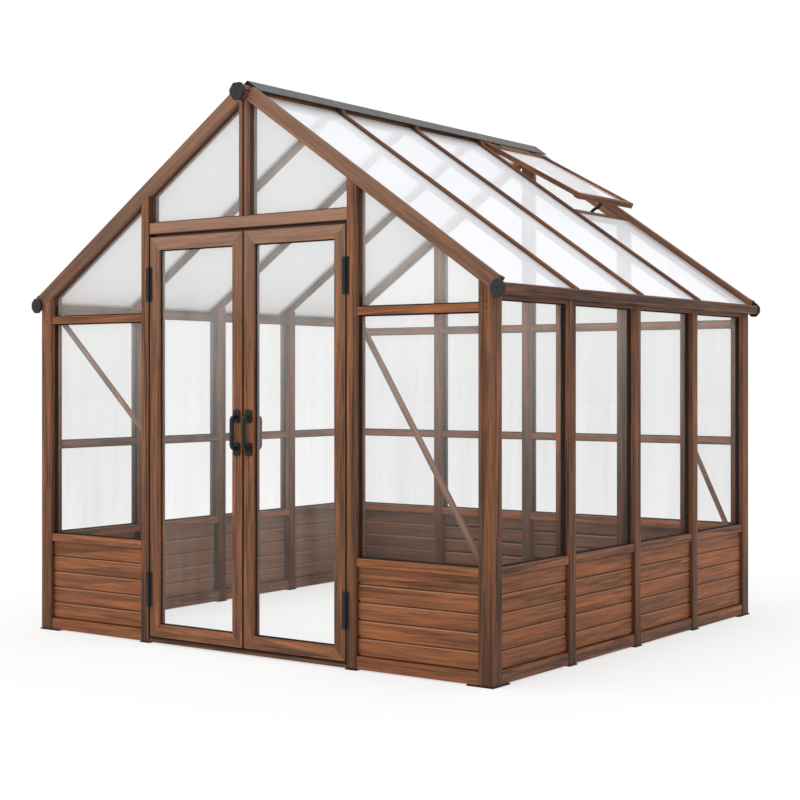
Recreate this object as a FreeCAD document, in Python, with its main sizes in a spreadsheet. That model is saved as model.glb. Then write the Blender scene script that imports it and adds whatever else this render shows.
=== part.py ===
"""Timber greenhouse: four glazed walls over boarded sides, double doors and a roof vent on a stay.

Millimetres, +Z up. The doors face -Y, +X is to the right of someone who faces them, and the origin
lies on the ground under the middle of the plan. Slopes are set out from the eave: s runs up the
slope from the top of the side wall's outer face and n stands square to the slope.
"""
import FreeCAD, Part
import math
import os
import Sketcher

SIZES = {
    # Plan
    "bay_pitch": 610,
    "side_bays": 4,
    "door_post_offset": 612,
    "front_bay": 680,
    "wall_depth": 70,
    "post_width": 56,
    "door_post_width": 50,
    # Feet and anchors
    "foot_thickness": 6,
    "foot_lip": 5,
    "anchor_tab": 55,
    "anchor_hole": 9,
    # Wall heights
    "base_rail_height": 54,
    "sill_height": 36,
    "top_rail_height": 27,
    "tie_drop": 80,
    "tie_height": 34,
    "mid_rail_height": 32,
    "mid_rail_level": 899,
    "rail_setback": 4,
    # Boarded lower walls
    "board_count": 5,
    "board_height": 75.6,
    "board_joint": 0.8,
    "board_thickness": 16,
    "board_setback": 18,
    "board_bevel": 6,
    # Glazing
    "glass_thickness": 4,
    "glass_setback": 40,
    "seal_width": 6,
    "seal_depth": 16,
    "roof_sheet": 6,
    "roof_sheet_level": 28,
    # Roof frame
    "roof_pitch": 34.5,
    "rafter_depth": 64,
    "rafter_lip": 28,
    "bar_width": 28,
    "bar_crown": 9,
    "eave_width": 55,
    "eave_seat": 42,
    "eave_face": 5,
    "eave_drop": 12,
    "eave_bevel": 8,
    "eave_overhang": 8,
    "ridge_half_base": 16,
    "ridge_seat": 36,
    "ridge_height": 66,
    "ridge_cheek": 12,
    "ridge_top": 36,
    "ridge_overhang": 40,
    "cap_thickness": 6,
    "cap_lip": 6,
    "capping_wing": 90,
    "capping_sheet": 1.6,
    "capping_joint": 3,
    # Front opening
    "threshold_height": 22,
    "door_floor_gap": 5,
    "door_height": 1872,
    "header_gap": 15,
    "header_height": 54,
    "header_rise": 380,
    "king_post_width": 48,
    "king_groove_width": 14,
    "king_groove_depth": 16,
    "door_stop_height": 25,
    "door_stop_depth": 20,
    "door_stop_gap": 1,
    # Doors
    "door_hinge_gap": 8,
    "door_meeting_gap": 10,
    "door_member": 60,
    "door_depth": 40,
    "door_glass_setback": 16,
    "door_seal_depth": 4,
    # Door hinges
    "hinge_inset": 140,
    "hinge_height": 160,
    "hinge_leaf": 12,
    "hinge_plate": 3,
    "hinge_barrel": 6,
    "hinge_barrel_gap": 1,
    "hinge_pin": 3.5,
    "hinge_offset": 6.2,
    "hinge_play": 0.3,
    "pin_clearance": 0.05,
    # Door handles
    "handle_level": 1000,
    "handle_foot_width": 42,
    "handle_foot_height": 58,
    "handle_foot_thickness": 6,
    "handle_foot_lap": 18,
    "handle_grip_width": 22,
    "handle_grip_depth": 14,
    "handle_leg_height": 26,
    "handle_grip_length": 200,
    "handle_reach": 44,
    "handle_outer_bend": 16,
    "handle_inner_bend": 8,
    # Roof vent
    "vent_open": 6,
    "vent_length": 660,
    "vent_member": 28,
    "vent_depth": 30,
    "vent_level": 62,
    "vent_side_gap": 3,
    "vent_head_width": 40,
    "vent_head_depth": 34,
    "vent_hinge_gap": 6,
    "vent_hinge_offset": 4.2,
    "vent_hinge_barrel": 4,
    "vent_hinge_pin": 2,
    "vent_hinge_height": 70,
    "vent_hinge_leaf": 14,
    "vent_hinge_plate": 2,
    "vent_hinge_inset": 70,
    "vent_sill_width": 56,
    "vent_sill_depth": 30,
    # Vent stay
    "stay_width": 20,
    "stay_thickness": 4,
    "stay_eye": 6,
    "stay_pin": 2.5,
    "stay_ear": 3,
    "stay_ear_gap": 0.5,
    "stay_pivot_reach": 8,
    "stay_pivot_rise": 5,
    "stay_gap": 1,
    "stay_slot_width": 9,
    "stay_slot_length": 22,
    "stay_slot_count": 3,
    "stay_slot_pitch": 29,
    "stay_slot_play": 2.5,
    "stay_tail": 9,
    "peg_radius": 3,
    "peg_length": 12,
    # Inside braces
    "brace_width": 24,
    "brace_thickness": 16,
    "brace_drop": 46,
    "brace_low_level": 1000,
    "brace_sill_lap": 20,
    "back_brace_run": 250,
    # Visible screws
    "screw_radius": 4.5,
    "screw_head": 2,
    "screw_foot_level": 16,
    "screw_top_drop": 40,
    "screw_pitch": 26,
}

LAYOUT = {
    "half_width": "sizes.door_post_offset + sizes.front_bay + sizes.wall_depth / 2",
    "half_depth": "sizes.side_bays * sizes.bay_pitch / 2 + sizes.wall_depth / 2",
    "threshold_top": "sizes.foot_thickness + sizes.threshold_height",
    "door_bottom": "layout.threshold_top + sizes.door_floor_gap",
    "door_top": "layout.door_bottom + sizes.door_height",
    "header_bottom": "layout.door_top + sizes.header_gap",
    "header_top": "layout.header_bottom + sizes.header_height",
    "wall_top": "layout.header_top - sizes.header_rise",
    "base_top": "sizes.foot_thickness + sizes.base_rail_height",
    "sill_bottom": "layout.base_top + sizes.board_count * sizes.board_height"
                   " + (sizes.board_count - 1) * sizes.board_joint",
    "sill_top": "layout.sill_bottom + sizes.sill_height",
    "mid_top": "sizes.mid_rail_level + sizes.mid_rail_height",
    "rail_bottom": "layout.wall_top - sizes.top_rail_height",
    "tie_bottom": "layout.wall_top - sizes.tie_drop",
    "tie_top": "layout.tie_bottom + sizes.tie_height",
    "door_reveal": "sizes.door_post_offset - sizes.door_post_width / 2",
    "door_width": "layout.door_reveal - sizes.door_hinge_gap - sizes.door_meeting_gap / 2",
    "slope_length": "(layout.half_width - sizes.ridge_half_base) / cos(sizes.roof_pitch)",
    "ridge_bottom": "layout.wall_top + (layout.half_width - sizes.ridge_half_base) * tan(sizes.roof_pitch)",
    "capping_apex": "layout.wall_top + layout.half_width * tan(sizes.roof_pitch)"
                    " + sizes.rafter_depth / cos(sizes.roof_pitch)",
    "capping_pitch": "(2 * layout.half_depth + sizes.ridge_overhang) / sizes.side_bays",
    "last_bar": "layout.half_depth - sizes.wall_depth / 2 - sizes.bay_pitch",
    "vent_tilt": "sizes.roof_pitch - sizes.vent_open",
    "vent_axis_s": "layout.slope_length - sizes.vent_head_width - sizes.vent_hinge_gap / 2",
    "vent_axis_n": "sizes.vent_level + sizes.vent_hinge_offset",
    "vent_axis_x": "layout.half_width - layout.vent_axis_s * cos(sizes.roof_pitch)"
                   " + layout.vent_axis_n * sin(sizes.roof_pitch)",
    "vent_axis_z": "layout.wall_top + layout.vent_axis_s * sin(sizes.roof_pitch)"
                   " + layout.vent_axis_n * cos(sizes.roof_pitch)",
    "vent_start": "layout.last_bar + sizes.bar_width / 2 + sizes.vent_side_gap",
    "vent_end": "layout.half_depth - sizes.rafter_lip - sizes.vent_side_gap",
    "vent_middle": "(layout.vent_start + layout.vent_end) / 2",
    "vent_under": "-sizes.vent_hinge_offset - sizes.vent_depth",
    "vent_rail_inner": "sizes.vent_hinge_gap / 2 + sizes.vent_length - sizes.vent_member",
    "stay_along": "layout.vent_rail_inner - sizes.stay_pivot_reach",
    "stay_below": "layout.vent_under + sizes.stay_pivot_rise",
    "stay_x": "layout.vent_axis_x + layout.stay_along * cos(layout.vent_tilt)"
              " + layout.stay_below * sin(layout.vent_tilt)",
    "stay_z": "layout.vent_axis_z - layout.stay_along * sin(layout.vent_tilt)"
              " + layout.stay_below * cos(layout.vent_tilt)",
    "stay_s": "layout.vent_axis_s - layout.stay_along * cos(sizes.vent_open)"
              " + layout.stay_below * sin(sizes.vent_open)",
    "stay_n": "layout.vent_axis_n + layout.stay_along * sin(sizes.vent_open)"
              " + layout.stay_below * cos(sizes.vent_open)",
    "sill_upper_s": "layout.stay_s - sizes.stay_thickness / 2 - sizes.stay_gap",
    "sill_lower_s": "layout.sill_upper_s - sizes.vent_sill_width",
    "peg_n": "sizes.vent_sill_depth / 2",
    "stay_slot_end": "layout.stay_n - layout.peg_n + sizes.peg_radius + sizes.stay_slot_play",
    "stay_length": "layout.stay_slot_end + sizes.stay_tail",
}

X_AXIS = FreeCAD.Vector(1, 0, 0)
Y_AXIS = FreeCAD.Vector(0, 1, 0)
Z_AXIS = FreeCAD.Vector(0, 0, 1)
QUARTER_TURN = 90
SEED_ANGLE = 10
HEAD_SIDES = 6

doc = FreeCAD.newDocument("greenhouse")


def make_sheet():
    """Driving sizes as plain numbers with aliases."""
    sheet = doc.addObject("Spreadsheet::Sheet", "sizes")
    for row, (alias, value) in enumerate(SIZES.items(), start=1):
        sheet.set(f"A{row}", alias)
        sheet.set(f"B{row}", str(value))
        sheet.setAlias(f"B{row}", alias)
    doc.recompute()
    return sheet


def make_layout():
    """Levels and places that follow from the driving sizes."""
    layout = doc.addObject("App::VarSet", "layout")
    for name, formula in LAYOUT.items():
        layout.addProperty("App::PropertyFloat", name, "Layout")
        layout.setExpression(name, formula)
    doc.recompute()
    return layout


sizes = make_sheet()
layout = make_layout()
side_bays = int(sizes.get("side_bays"))


# Basic shapes bound to the sheet

def value_of(formula):
    """Present value of a formula, for the first guess of a sketch."""
    return float(layout.evalExpression(formula))


def bind(piece, **formulas):
    for name, formula in formulas.items():
        piece.setExpression(name, formula)
    return piece


def put(piece, x, y, z, axis=None, angle=None):
    """Place a piece by formulas, turned about one axis where it lies on a slope."""
    if axis is not None:
        piece.Placement = FreeCAD.Placement(FreeCAD.Vector(), FreeCAD.Rotation(axis, SEED_ANGLE))
        piece.setExpression("Placement.Rotation.Angle", angle)
    piece.setExpression("Placement.Base.x", x)
    piece.setExpression("Placement.Base.y", y)
    piece.setExpression("Placement.Base.z", z)
    return piece


def box(name, size, corner, axis=None, angle=None):
    piece = doc.addObject("Part::Box", name)
    bind(piece, Length=size[0], Width=size[1], Height=size[2])
    return put(piece, *corner, axis, angle)


def cylinder(name, radius, height, base, axis=None, angle=None):
    piece = doc.addObject("Part::Cylinder", name)
    bind(piece, Radius=radius, Height=height)
    return put(piece, *base, axis, angle)


def hexagon_head(name, radius, height, base, axis, angle):
    piece = doc.addObject("Part::Prism", name)
    piece.Polygon = HEAD_SIDES
    bind(piece, Circumradius=radius, Height=height)
    return put(piece, *base, axis, angle)


def across_taper(name, x, width, back, depth, heights):
    """Board whose lower and upper ends change evenly along X, from `heights[0:2]` to `heights[2:4]`."""
    piece = doc.addObject("Part::Wedge", name)
    bind(piece, Ymin="0", Ymax=width, Xmin="0", Xmax=depth, X2min="0", X2max=depth)
    bind(piece, Zmin=heights[0], Zmax=heights[1], Z2min=heights[2], Z2max=heights[3])
    return put(piece, x, back, "0", -Z_AXIS, str(QUARTER_TURN))


def upward_taper(name, bottom, height, back, depth, ends):
    """Board whose left and right ends change evenly along Z, from `ends[0:2]` to `ends[2:4]`."""
    piece = doc.addObject("Part::Wedge", name)
    bind(piece, Ymin="0", Ymax=height, Zmin="0", Zmax=depth, Z2min="0", Z2max=depth)
    bind(piece, Xmin=ends[0], Xmax=ends[1], X2min=ends[2], X2max=ends[3])
    return put(piece, "0", back, bottom, X_AXIS, str(QUARTER_TURN))


def cut(name, base, tool):
    piece = doc.addObject("Part::Cut", name)
    piece.Base = base
    piece.Tool = tool
    return piece


def fuse(name, pieces):
    piece = doc.addObject("Part::MultiFuse", name)
    piece.Shapes = pieces
    return piece


def node(label, pieces):
    """Sub-part that holds one or more separate solids."""
    group = doc.addObject("Part::Compound", label)
    group.Label = label
    group.Links = pieces
    return group


def origin_feature(body, role):
    return next(item for item in body.Origin.OriginFeatures if item.Role == role)


def new_sketch(body, plane, name):
    sketch = body.newObject("Sketcher::SketchObject", name)
    sketch.AttachmentSupport = [(origin_feature(body, plane), "")]
    sketch.MapMode = "FlatFace"
    return sketch


def pin_point(sketch, line, end, x, y):
    """Hold one end of a line at formulas measured from the sketch origin."""
    for kind, formula in (("DistanceX", x), ("DistanceY", y)):
        held = Sketcher.Constraint(kind, -1, 1, line, end, value_of(formula))
        index = sketch.addConstraint(held)
        sketch.setExpression(f"Constraints[{index}]", formula)


def polygon(body, plane, name, points):
    """Closed outline through points that are given as pairs of formulas."""
    sketch = new_sketch(body, plane, name)
    places = [FreeCAD.Vector(value_of(x), value_of(y), 0) for x, y in points]
    count = len(points)
    for index in range(count):
        following = places[(index + 1) % count]
        sketch.addGeometry(Part.LineSegment(places[index], following), False)
    for index in range(count):
        sketch.addConstraint(Sketcher.Constraint("Coincident", index, 2, (index + 1) % count, 1))
    for index, (x, y) in enumerate(points):
        pin_point(sketch, index, 1, x, y)
    return sketch


def pad(body, sketch, length):
    feature = body.newObject("PartDesign::Pad", body.Name + "_pad")
    feature.Profile = sketch
    feature.setExpression("Length", length)
    body.Tip = feature
    return feature


def repeat(body, feature, role, step, count):
    """Row of copies along one of the body's own axes."""
    row = body.newObject("PartDesign::LinearPattern", body.Name + "_row")
    row.Originals = [feature]
    row.Direction = (origin_feature(body, role), [""])
    row.setExpression("Length", f"({step}) * ({count} - 1)")
    row.setExpression("Occurrences", count)
    body.Tip = row
    return row


def prism(name, plane, points, length):
    """Body padded from a closed outline."""
    body = doc.addObject("PartDesign::Body", name)
    sketch = polygon(body, plane, name + "_outline", points)
    pad(body, sketch, length)
    return body


# Places on the walls and slopes

class Wall:
    """One wall: the axis it runs along, and formulas for the openings between its posts."""

    def __init__(self, name, along, openings):
        self.name = name
        self.along = along
        self.openings = openings

    def across(self, setback, depth):
        """Low coordinate of a piece that stands `setback` behind the wall's outer face."""
        return {
            "front": f"-layout.half_depth + {setback}",
            "back": f"layout.half_depth - ({setback}) - ({depth})",
            "left": f"-layout.half_width + {setback}",
            "right": f"layout.half_width - ({setback}) - ({depth})",
        }[self.name]

    def block(self, name, opening, setback, depth, bottom, height, margin="0"):
        """Box that fills an opening between `bottom` and its height, less a margin at each end."""
        start, length = opening
        begin = f"{start} + ({margin})"
        run = f"{length} - 2 * ({margin})"
        low = self.across(setback, depth)
        if self.along == "y":
            return box(name, (depth, run, height), (low, begin, bottom))
        return box(name, (run, depth, height), (begin, low, bottom))


def bay_line(index):
    """Y of a side-wall post or glazing bar, counted from the front corner."""
    return f"(-layout.half_depth + sizes.wall_depth / 2 + {index} * sizes.bay_pitch)"


def bay_openings(member, end):
    """Clear lengths along Y between members of one width; the end members reach `end` past the end lines."""
    openings = []
    for index in range(side_bays):
        first = index == 0
        last = index == side_bays - 1
        before = end if first else f"{member} / 2"
        after = end if last else f"{member} / 2"
        start = f"{bay_line(index)} + {before}"
        openings.append((start, f"sizes.bay_pitch - {before} - {after}"))
    return openings


def corner_opening(side, post):
    """Clear length along X between a corner post and the post that stands at the door line."""
    run = f"sizes.front_bay - sizes.wall_depth / 2 - {post} / 2"
    if side < 0:
        return ("-layout.half_width + sizes.wall_depth", run)
    return (f"sizes.door_post_offset + {post} / 2", run)


def back_middle_opening(side):
    """Clear length along X between the middle back post and its neighbour."""
    run = "sizes.door_post_offset - sizes.post_width"
    if side < 0:
        return ("-sizes.door_post_offset + sizes.post_width / 2", run)
    return ("sizes.post_width / 2", run)


FRONT = Wall("front", "x", [corner_opening(side, "sizes.door_post_width") for side in (-1, 1)])
BACK = Wall("back", "x", [
    corner_opening(-1, "sizes.post_width"),
    back_middle_opening(-1),
    back_middle_opening(1),
    corner_opening(1, "sizes.post_width"),
])
LEFT = Wall("left", "y", bay_openings("sizes.post_width", "sizes.wall_depth / 2"))
RIGHT = Wall("right", "y", bay_openings("sizes.post_width", "sizes.wall_depth / 2"))
ROOF_OPENINGS = bay_openings("sizes.bar_width", "(sizes.rafter_lip - sizes.wall_depth / 2)")


def underside(distance):
    """Height of the rafters' underside at a distance from the middle of the plan."""
    return f"layout.wall_top + (layout.half_width - ({distance})) * tan(sizes.roof_pitch)"


def slope_place(side, s, n):
    """World X and Z of a point on one slope."""
    run = f"layout.half_width - ({s}) * cos(sizes.roof_pitch) + ({n}) * sin(sizes.roof_pitch)"
    rise = f"layout.wall_top + ({s}) * sin(sizes.roof_pitch) + ({n}) * cos(sizes.roof_pitch)"
    return (f"{side} * ({run})", rise)


def slope_box(name, side, span, level, thickness, start, width):
    """Board on a slope, from span[0] up to span[1], standing on the level n."""
    lower, upper = span
    end = upper if side > 0 else lower
    x, z = slope_place(side, end, level)
    size = (f"({upper}) - ({lower})", width, thickness)
    return box(name, size, (x, start, z), Y_AXIS * side, "sizes.roof_pitch")


def vent_place(along, level):
    """World X and Z of a point on the opened vent, from its hinge line."""
    x = f"layout.vent_axis_x + ({along}) * cos(layout.vent_tilt) + ({level}) * sin(layout.vent_tilt)"
    z = f"layout.vent_axis_z - ({along}) * sin(layout.vent_tilt) + ({level}) * cos(layout.vent_tilt)"
    return (x, z)


def vent_box(name, along, length, level, thickness, start, width):
    x, z = vent_place(along, level)
    return box(name, (length, width, thickness), (x, start, z), Y_AXIS, "layout.vent_tilt")


# Posts

def roofed_post(name, distance, width, side, back, depth):
    """Post of the gables or side walls, cut to the slope at its top."""
    near = f"{distance} - ({width}) / 2"
    far = f"{distance} + ({width}) / 2"
    inner = underside(near)
    outer = underside(far)
    foot = "sizes.foot_thickness"
    if side > 0:
        return across_taper(name, near, width, back, depth, (foot, inner, foot, outer))
    return across_taper(name, f"-({far})", width, back, depth, (foot, outer, foot, inner))


FRONT_INNER = "-layout.half_depth + sizes.wall_depth"
BACK_OUTER = "layout.half_depth"
CORNER_LINE = "layout.half_width - sizes.wall_depth / 2"


def corner_posts():
    pieces = []
    for side in (-1, 1):
        for back in (FRONT_INNER, BACK_OUTER):
            pieces.append(roofed_post("corner_post", CORNER_LINE, "sizes.wall_depth", side, back,
                                      "sizes.wall_depth"))
    return node("corner_posts", pieces)


def door_posts():
    pieces = [roofed_post("door_post", "sizes.door_post_offset", "sizes.door_post_width", side,
                          FRONT_INNER, "sizes.wall_depth") for side in (-1, 1)]
    return node("door_posts", pieces)


def side_posts(label, side):
    pieces = []
    for index in range(1, side_bays):
        back = f"{bay_line(index)} + sizes.post_width / 2"
        pieces.append(roofed_post("side_post", CORNER_LINE, "sizes.wall_depth", side, back,
                                  "sizes.post_width"))
    return node(label, pieces)


def king_outline(width, bottom):
    """Post under the ridge: flat on top, with its shoulders cut to both slopes."""
    half = f"{width} / 2"
    shoulder = underside(half)
    crown = "sizes.ridge_half_base"
    return [
        (f"-{half}", bottom),
        (half, bottom),
        (half, shoulder),
        (crown, "layout.ridge_bottom"),
        (f"-{crown}", "layout.ridge_bottom"),
        (f"-{half}", shoulder),
    ]


def front_king_post():
    """King post with the groove that runs down its front face."""
    body = prism("front_king_post", "XZ_Plane", king_outline("sizes.king_post_width", "layout.header_top"),
                 "sizes.wall_depth")
    groove = polygon(body, "XY_Plane", "groove_outline", [
        ("-sizes.king_groove_width / 2", "-sizes.wall_depth"),
        ("sizes.king_groove_width / 2", "-sizes.wall_depth"),
        ("sizes.king_groove_width / 2", "-sizes.wall_depth + sizes.king_groove_depth"),
        ("-sizes.king_groove_width / 2", "-sizes.wall_depth + sizes.king_groove_depth"),
    ])
    pocket = body.newObject("PartDesign::Pocket", "groove")
    pocket.Profile = groove
    pocket.Type = "ThroughAll"
    pocket.Reversed = True
    body.Tip = pocket
    body.Label = "front_king_post"
    return put(body, "0", FRONT_INNER, "0")


def back_wall_posts():
    pieces = [roofed_post("back_post", "sizes.door_post_offset", "sizes.post_width", side, BACK_OUTER,
                          "sizes.wall_depth") for side in (-1, 1)]
    middle = prism("back_king_post", "XZ_Plane", king_outline("sizes.post_width", "sizes.foot_thickness"),
                   "sizes.wall_depth")
    pieces.append(put(middle, "0", BACK_OUTER, "0"))
    return node("back_wall_posts", pieces)


# Rails, boards and panes of the walls

def wall_rails(wall, rows):
    pieces = []
    depth = "sizes.wall_depth - sizes.rail_setback"
    for opening in wall.openings:
        for bottom, height in rows:
            pieces.append(wall.block("rail", opening, "sizes.rail_setback", depth, bottom, height))
    return node(f"{wall.name}_wall_rails", pieces)


BASE_ROW = ("sizes.foot_thickness", "sizes.base_rail_height")
SILL_ROW = ("layout.sill_bottom", "sizes.sill_height")
MID_ROW = ("sizes.mid_rail_level", "sizes.mid_rail_height")
TIE_ROW = ("layout.tie_bottom", "sizes.tie_height")
TOP_ROW = ("layout.rail_bottom", "sizes.top_rail_height")


def board_outline(wall):
    """Section of one board, with both outer edges bevelled so that the joints read as grooves."""
    outward = 1 if wall.name in ("right", "back") else -1
    low = wall.across("sizes.board_setback", "sizes.board_thickness")
    inner = f"{low}" if outward > 0 else f"{low} + sizes.board_thickness"
    outer = f"{low} + sizes.board_thickness" if outward > 0 else f"{low}"
    shoulder = f"{outer} - {outward} * sizes.board_bevel"
    bottom = "layout.base_top"
    top = "layout.base_top + sizes.board_height"
    return [
        (inner, bottom),
        (shoulder, bottom),
        (outer, f"{bottom} + sizes.board_bevel"),
        (outer, f"{top} - sizes.board_bevel"),
        (shoulder, top),
        (inner, top),
    ]


def wall_cladding(wall):
    pieces = []
    plane = "XZ_Plane" if wall.along == "y" else "YZ_Plane"
    for start, length in wall.openings:
        body = prism(f"{wall.name}_board", plane, board_outline(wall), length)
        first = body.Tip
        repeat(body, first, "Z_Axis", "sizes.board_height + sizes.board_joint", "sizes.board_count")
        if wall.along == "y":
            pieces.append(put(body, "0", f"{start} + {length}", "0"))
        else:
            pieces.append(put(body, start, "0", "0"))
    return node(f"{wall.name}_cladding", pieces)


def pane_rows(wall):
    """Lower edge and height of the panes in one bay; a mid rail divides those of the left and back walls."""
    head = "layout.tie_bottom" if wall.along == "x" else "layout.rail_bottom"
    if wall.name in ("front", "right"):
        return [("layout.sill_top", f"{head} - layout.sill_top")]
    return [("layout.sill_top", "sizes.mid_rail_level - layout.sill_top"),
            ("layout.mid_top", f"{head} - layout.mid_top")]


def wall_panes(wall):
    return [wall.block("pane", opening, "sizes.glass_setback", "sizes.glass_thickness", bottom, height)
            for opening in wall.openings for bottom, height in pane_rows(wall)]


def seal_rings(wall):
    """Glazing seals: one rubber frame in front of each pane."""
    rings = []
    setback = "sizes.glass_setback - sizes.seal_depth"
    for opening in wall.openings:
        for bottom, height in pane_rows(wall):
            outer = wall.block("seal_blank", opening, setback, "sizes.seal_depth", bottom, height)
            inner = wall.block("seal_hole", opening, setback, "sizes.seal_depth",
                               f"{bottom} + sizes.seal_width", f"{height} - 2 * sizes.seal_width",
                               "sizes.seal_width")
            rings.append(cut("seal", outer, inner))
    return rings


def gable_block(name, wall, opening, side, bottom, setback, depth, margin="0"):
    """Piece that fills a gable opening from a rail up to the slope, less a margin all round."""
    start, run = opening
    back = f"{wall.across(setback, depth)} + {depth}"
    near = start if side > 0 else f"-({start}) - ({run})"
    near = f"{near} + ({margin})"
    width = f"{run} - 2 * ({margin})"
    slope_margin = f"({margin}) / cos(sizes.roof_pitch)"
    inner = f"{underside(near)} - {slope_margin}"
    outer = f"{underside(f'{near} + {width}')} - {slope_margin}"
    foot = f"{bottom} + ({margin})"
    heights = (foot, inner, foot, outer) if side > 0 else (foot, outer, foot, inner)
    return across_taper(name, f"{start} + ({margin})", width, back, depth, heights)


def gable_pane(wall, opening, side, bottom):
    return gable_block("gable_pane", wall, opening, side, bottom, "sizes.glass_setback",
                       "sizes.glass_thickness")


def gable_seal(wall, opening, side, bottom):
    setback = "sizes.glass_setback - sizes.seal_depth"
    outer = gable_block("gable_seal_blank", wall, opening, side, bottom, setback, "sizes.seal_depth")
    inner = gable_block("gable_seal_hole", wall, opening, side, bottom, setback, "sizes.seal_depth",
                        "sizes.seal_width")
    return cut("gable_seal", outer, inner)


def header_opening(side):
    """Clear length along X between a door post and the king post."""
    run = "layout.door_reveal - sizes.king_post_width / 2"
    if side < 0:
        return ("-layout.door_reveal", run)
    return ("sizes.king_post_width / 2", run)


def gable_openings(wall):
    """Openings above the ties and the door header: place, side of the ridge and lower edge."""
    if wall.name == "back":
        return [(opening, side, "layout.tie_top") for side, opening in zip((-1, -1, 1, 1), wall.openings)]
    rows = [(opening, side, "layout.tie_top") for side, opening in zip((-1, 1), wall.openings)]
    return rows + [(header_opening(side), side, "layout.header_top") for side in (-1, 1)]


def front_panes():
    pieces = wall_panes(FRONT)
    pieces += [gable_pane(FRONT, *place) for place in gable_openings(FRONT)]
    return node("front_panes", pieces)


def back_panes():
    pieces = wall_panes(BACK)
    pieces += [gable_pane(BACK, *place) for place in gable_openings(BACK)]
    return node("back_panes", pieces)


def wall_seals():
    rings = [ring for wall in (FRONT, RIGHT, LEFT, BACK) for ring in seal_rings(wall)]
    rings += [gable_seal(wall, *place) for wall in (FRONT, BACK) for place in gable_openings(wall)]
    return node("wall_seals", rings)


# Inside braces

def brace(name, wall, start, end):
    """Flat timber screwed to the inner faces of a wall's posts or rails, falling towards +X."""
    (x0, z0), (x1, z1) = start, end
    run = f"({x1} - ({x0}))"
    fall = f"({z0} - ({z1}))"
    angle = f"atan({fall} / {run})"
    low = wall.across("sizes.wall_depth", "sizes.brace_thickness")
    x = f"{x0} - sizes.brace_width / 2 * sin({angle})"
    z = f"{z0} - sizes.brace_width / 2 * cos({angle})"
    size = (f"sqrt({run} ^ 2 + {fall} ^ 2)", "sizes.brace_thickness", "sizes.brace_width")
    return box(name, size, (x, low, z), Y_AXIS, angle)


def wall_braces():
    high = "layout.tie_bottom - sizes.brace_drop"
    low = "layout.sill_top - sizes.brace_sill_lap"
    corner = "layout.half_width - sizes.wall_depth - sizes.brace_width / 2"
    middle = "sizes.mid_rail_level + sizes.mid_rail_height / 2"
    pieces = [
        brace("front_left_brace", FRONT, (f"-({corner})", high),
              ("-sizes.door_post_offset", "sizes.brace_low_level")),
        brace("front_right_brace", FRONT, ("sizes.door_post_offset", high), (corner, low)),
        brace("back_right_brace", BACK, (f"{corner} - sizes.back_brace_run", middle), (corner, low)),
    ]
    return node("wall_braces", pieces)


# Front opening

DOORWAY = ("-layout.door_reveal", "2 * layout.door_reveal")


def door_header():
    piece = FRONT.block("door_header", DOORWAY, "sizes.rail_setback", "sizes.wall_depth - sizes.rail_setback",
                        "layout.header_bottom", "sizes.header_height")
    return node("door_header_timber", [piece])


def door_threshold():
    piece = FRONT.block("door_threshold", DOORWAY, "0", "sizes.wall_depth", "sizes.foot_thickness",
                        "sizes.threshold_height")
    return node("door_threshold_timber", [piece])


def door_stop():
    """Strip under the header that the closed doors come to rest against."""
    piece = FRONT.block("door_stop", DOORWAY, "sizes.door_depth + sizes.door_stop_gap",
                        "sizes.door_stop_depth", "layout.header_bottom - sizes.door_stop_height",
                        "sizes.door_stop_height")
    return node("door_stop_strip", [piece])


# Roof frame

def eave_outline(side, lip):
    """Eight-sided eave beam: its seat stands square to the slope, and a lip makes the cap's outline."""
    seat_x = "sizes.eave_seat * sin(sizes.roof_pitch)"
    seat_z = "sizes.eave_seat * cos(sizes.roof_pitch)"
    outer = f"sizes.eave_width + {lip}"
    inset = f"{lip} * tan({QUARTER_TURN} / 4)"
    points = [
        (f"-({lip})", f"-sizes.eave_face - {inset}"),
        (f"-({lip})", inset),
        (f"{seat_x} - {inset}", f"{seat_z} + {lip}"),
        (f"sizes.eave_width - sizes.eave_bevel + {inset}", f"{seat_z} + {lip}"),
        (outer, f"{seat_z} - sizes.eave_bevel + {inset}"),
        (outer, f"-sizes.eave_drop + sizes.eave_bevel - {inset}"),
        (f"sizes.eave_width - sizes.eave_bevel + {inset}", f"-sizes.eave_drop - {lip}"),
        (f"sizes.eave_bevel - {inset}", f"-sizes.eave_drop - {lip}"),
    ]
    return [(f"{side} * (layout.half_width + {x})", f"layout.wall_top + {z}") for x, z in points]


def ridge_outline(lip):
    """Ridge beam: two seats square to the slopes under a bevelled top."""
    seat_x = "sizes.ridge_half_base + sizes.ridge_seat * sin(sizes.roof_pitch)"
    seat_z = "sizes.ridge_seat * cos(sizes.roof_pitch)"
    inset = f"{lip} * tan({QUARTER_TURN} / 4)"
    half = [
        (f"sizes.ridge_half_base + {inset}", f"-({lip})"),
        (f"{seat_x} + {lip}", f"{seat_z} - {inset}"),
        (f"{seat_x} + {lip}", f"{seat_z} + sizes.ridge_cheek + {inset}"),
        (f"sizes.ridge_top / 2 + {inset}", f"sizes.ridge_height + {lip}"),
    ]
    points = half + [(f"-({x})", z) for x, z in reversed(half)]
    return [(x, f"layout.ridge_bottom + {z}") for x, z in points]


def eave_beams():
    pieces = []
    for side in (-1, 1):
        body = prism("eave_beam", "XZ_Plane", eave_outline(side, "0"),
                     "2 * (layout.half_depth + sizes.eave_overhang)")
        pieces.append(put(body, "0", "layout.half_depth + sizes.eave_overhang", "0"))
    return node("eave_beams", pieces)


def ridge_beam():
    body = prism("ridge_beam", "XZ_Plane", ridge_outline("0"),
                 "2 * (layout.half_depth + sizes.ridge_overhang)")
    body.Label = "ridge_beam"
    return put(body, "0", "layout.half_depth + sizes.ridge_overhang", "0")


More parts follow.
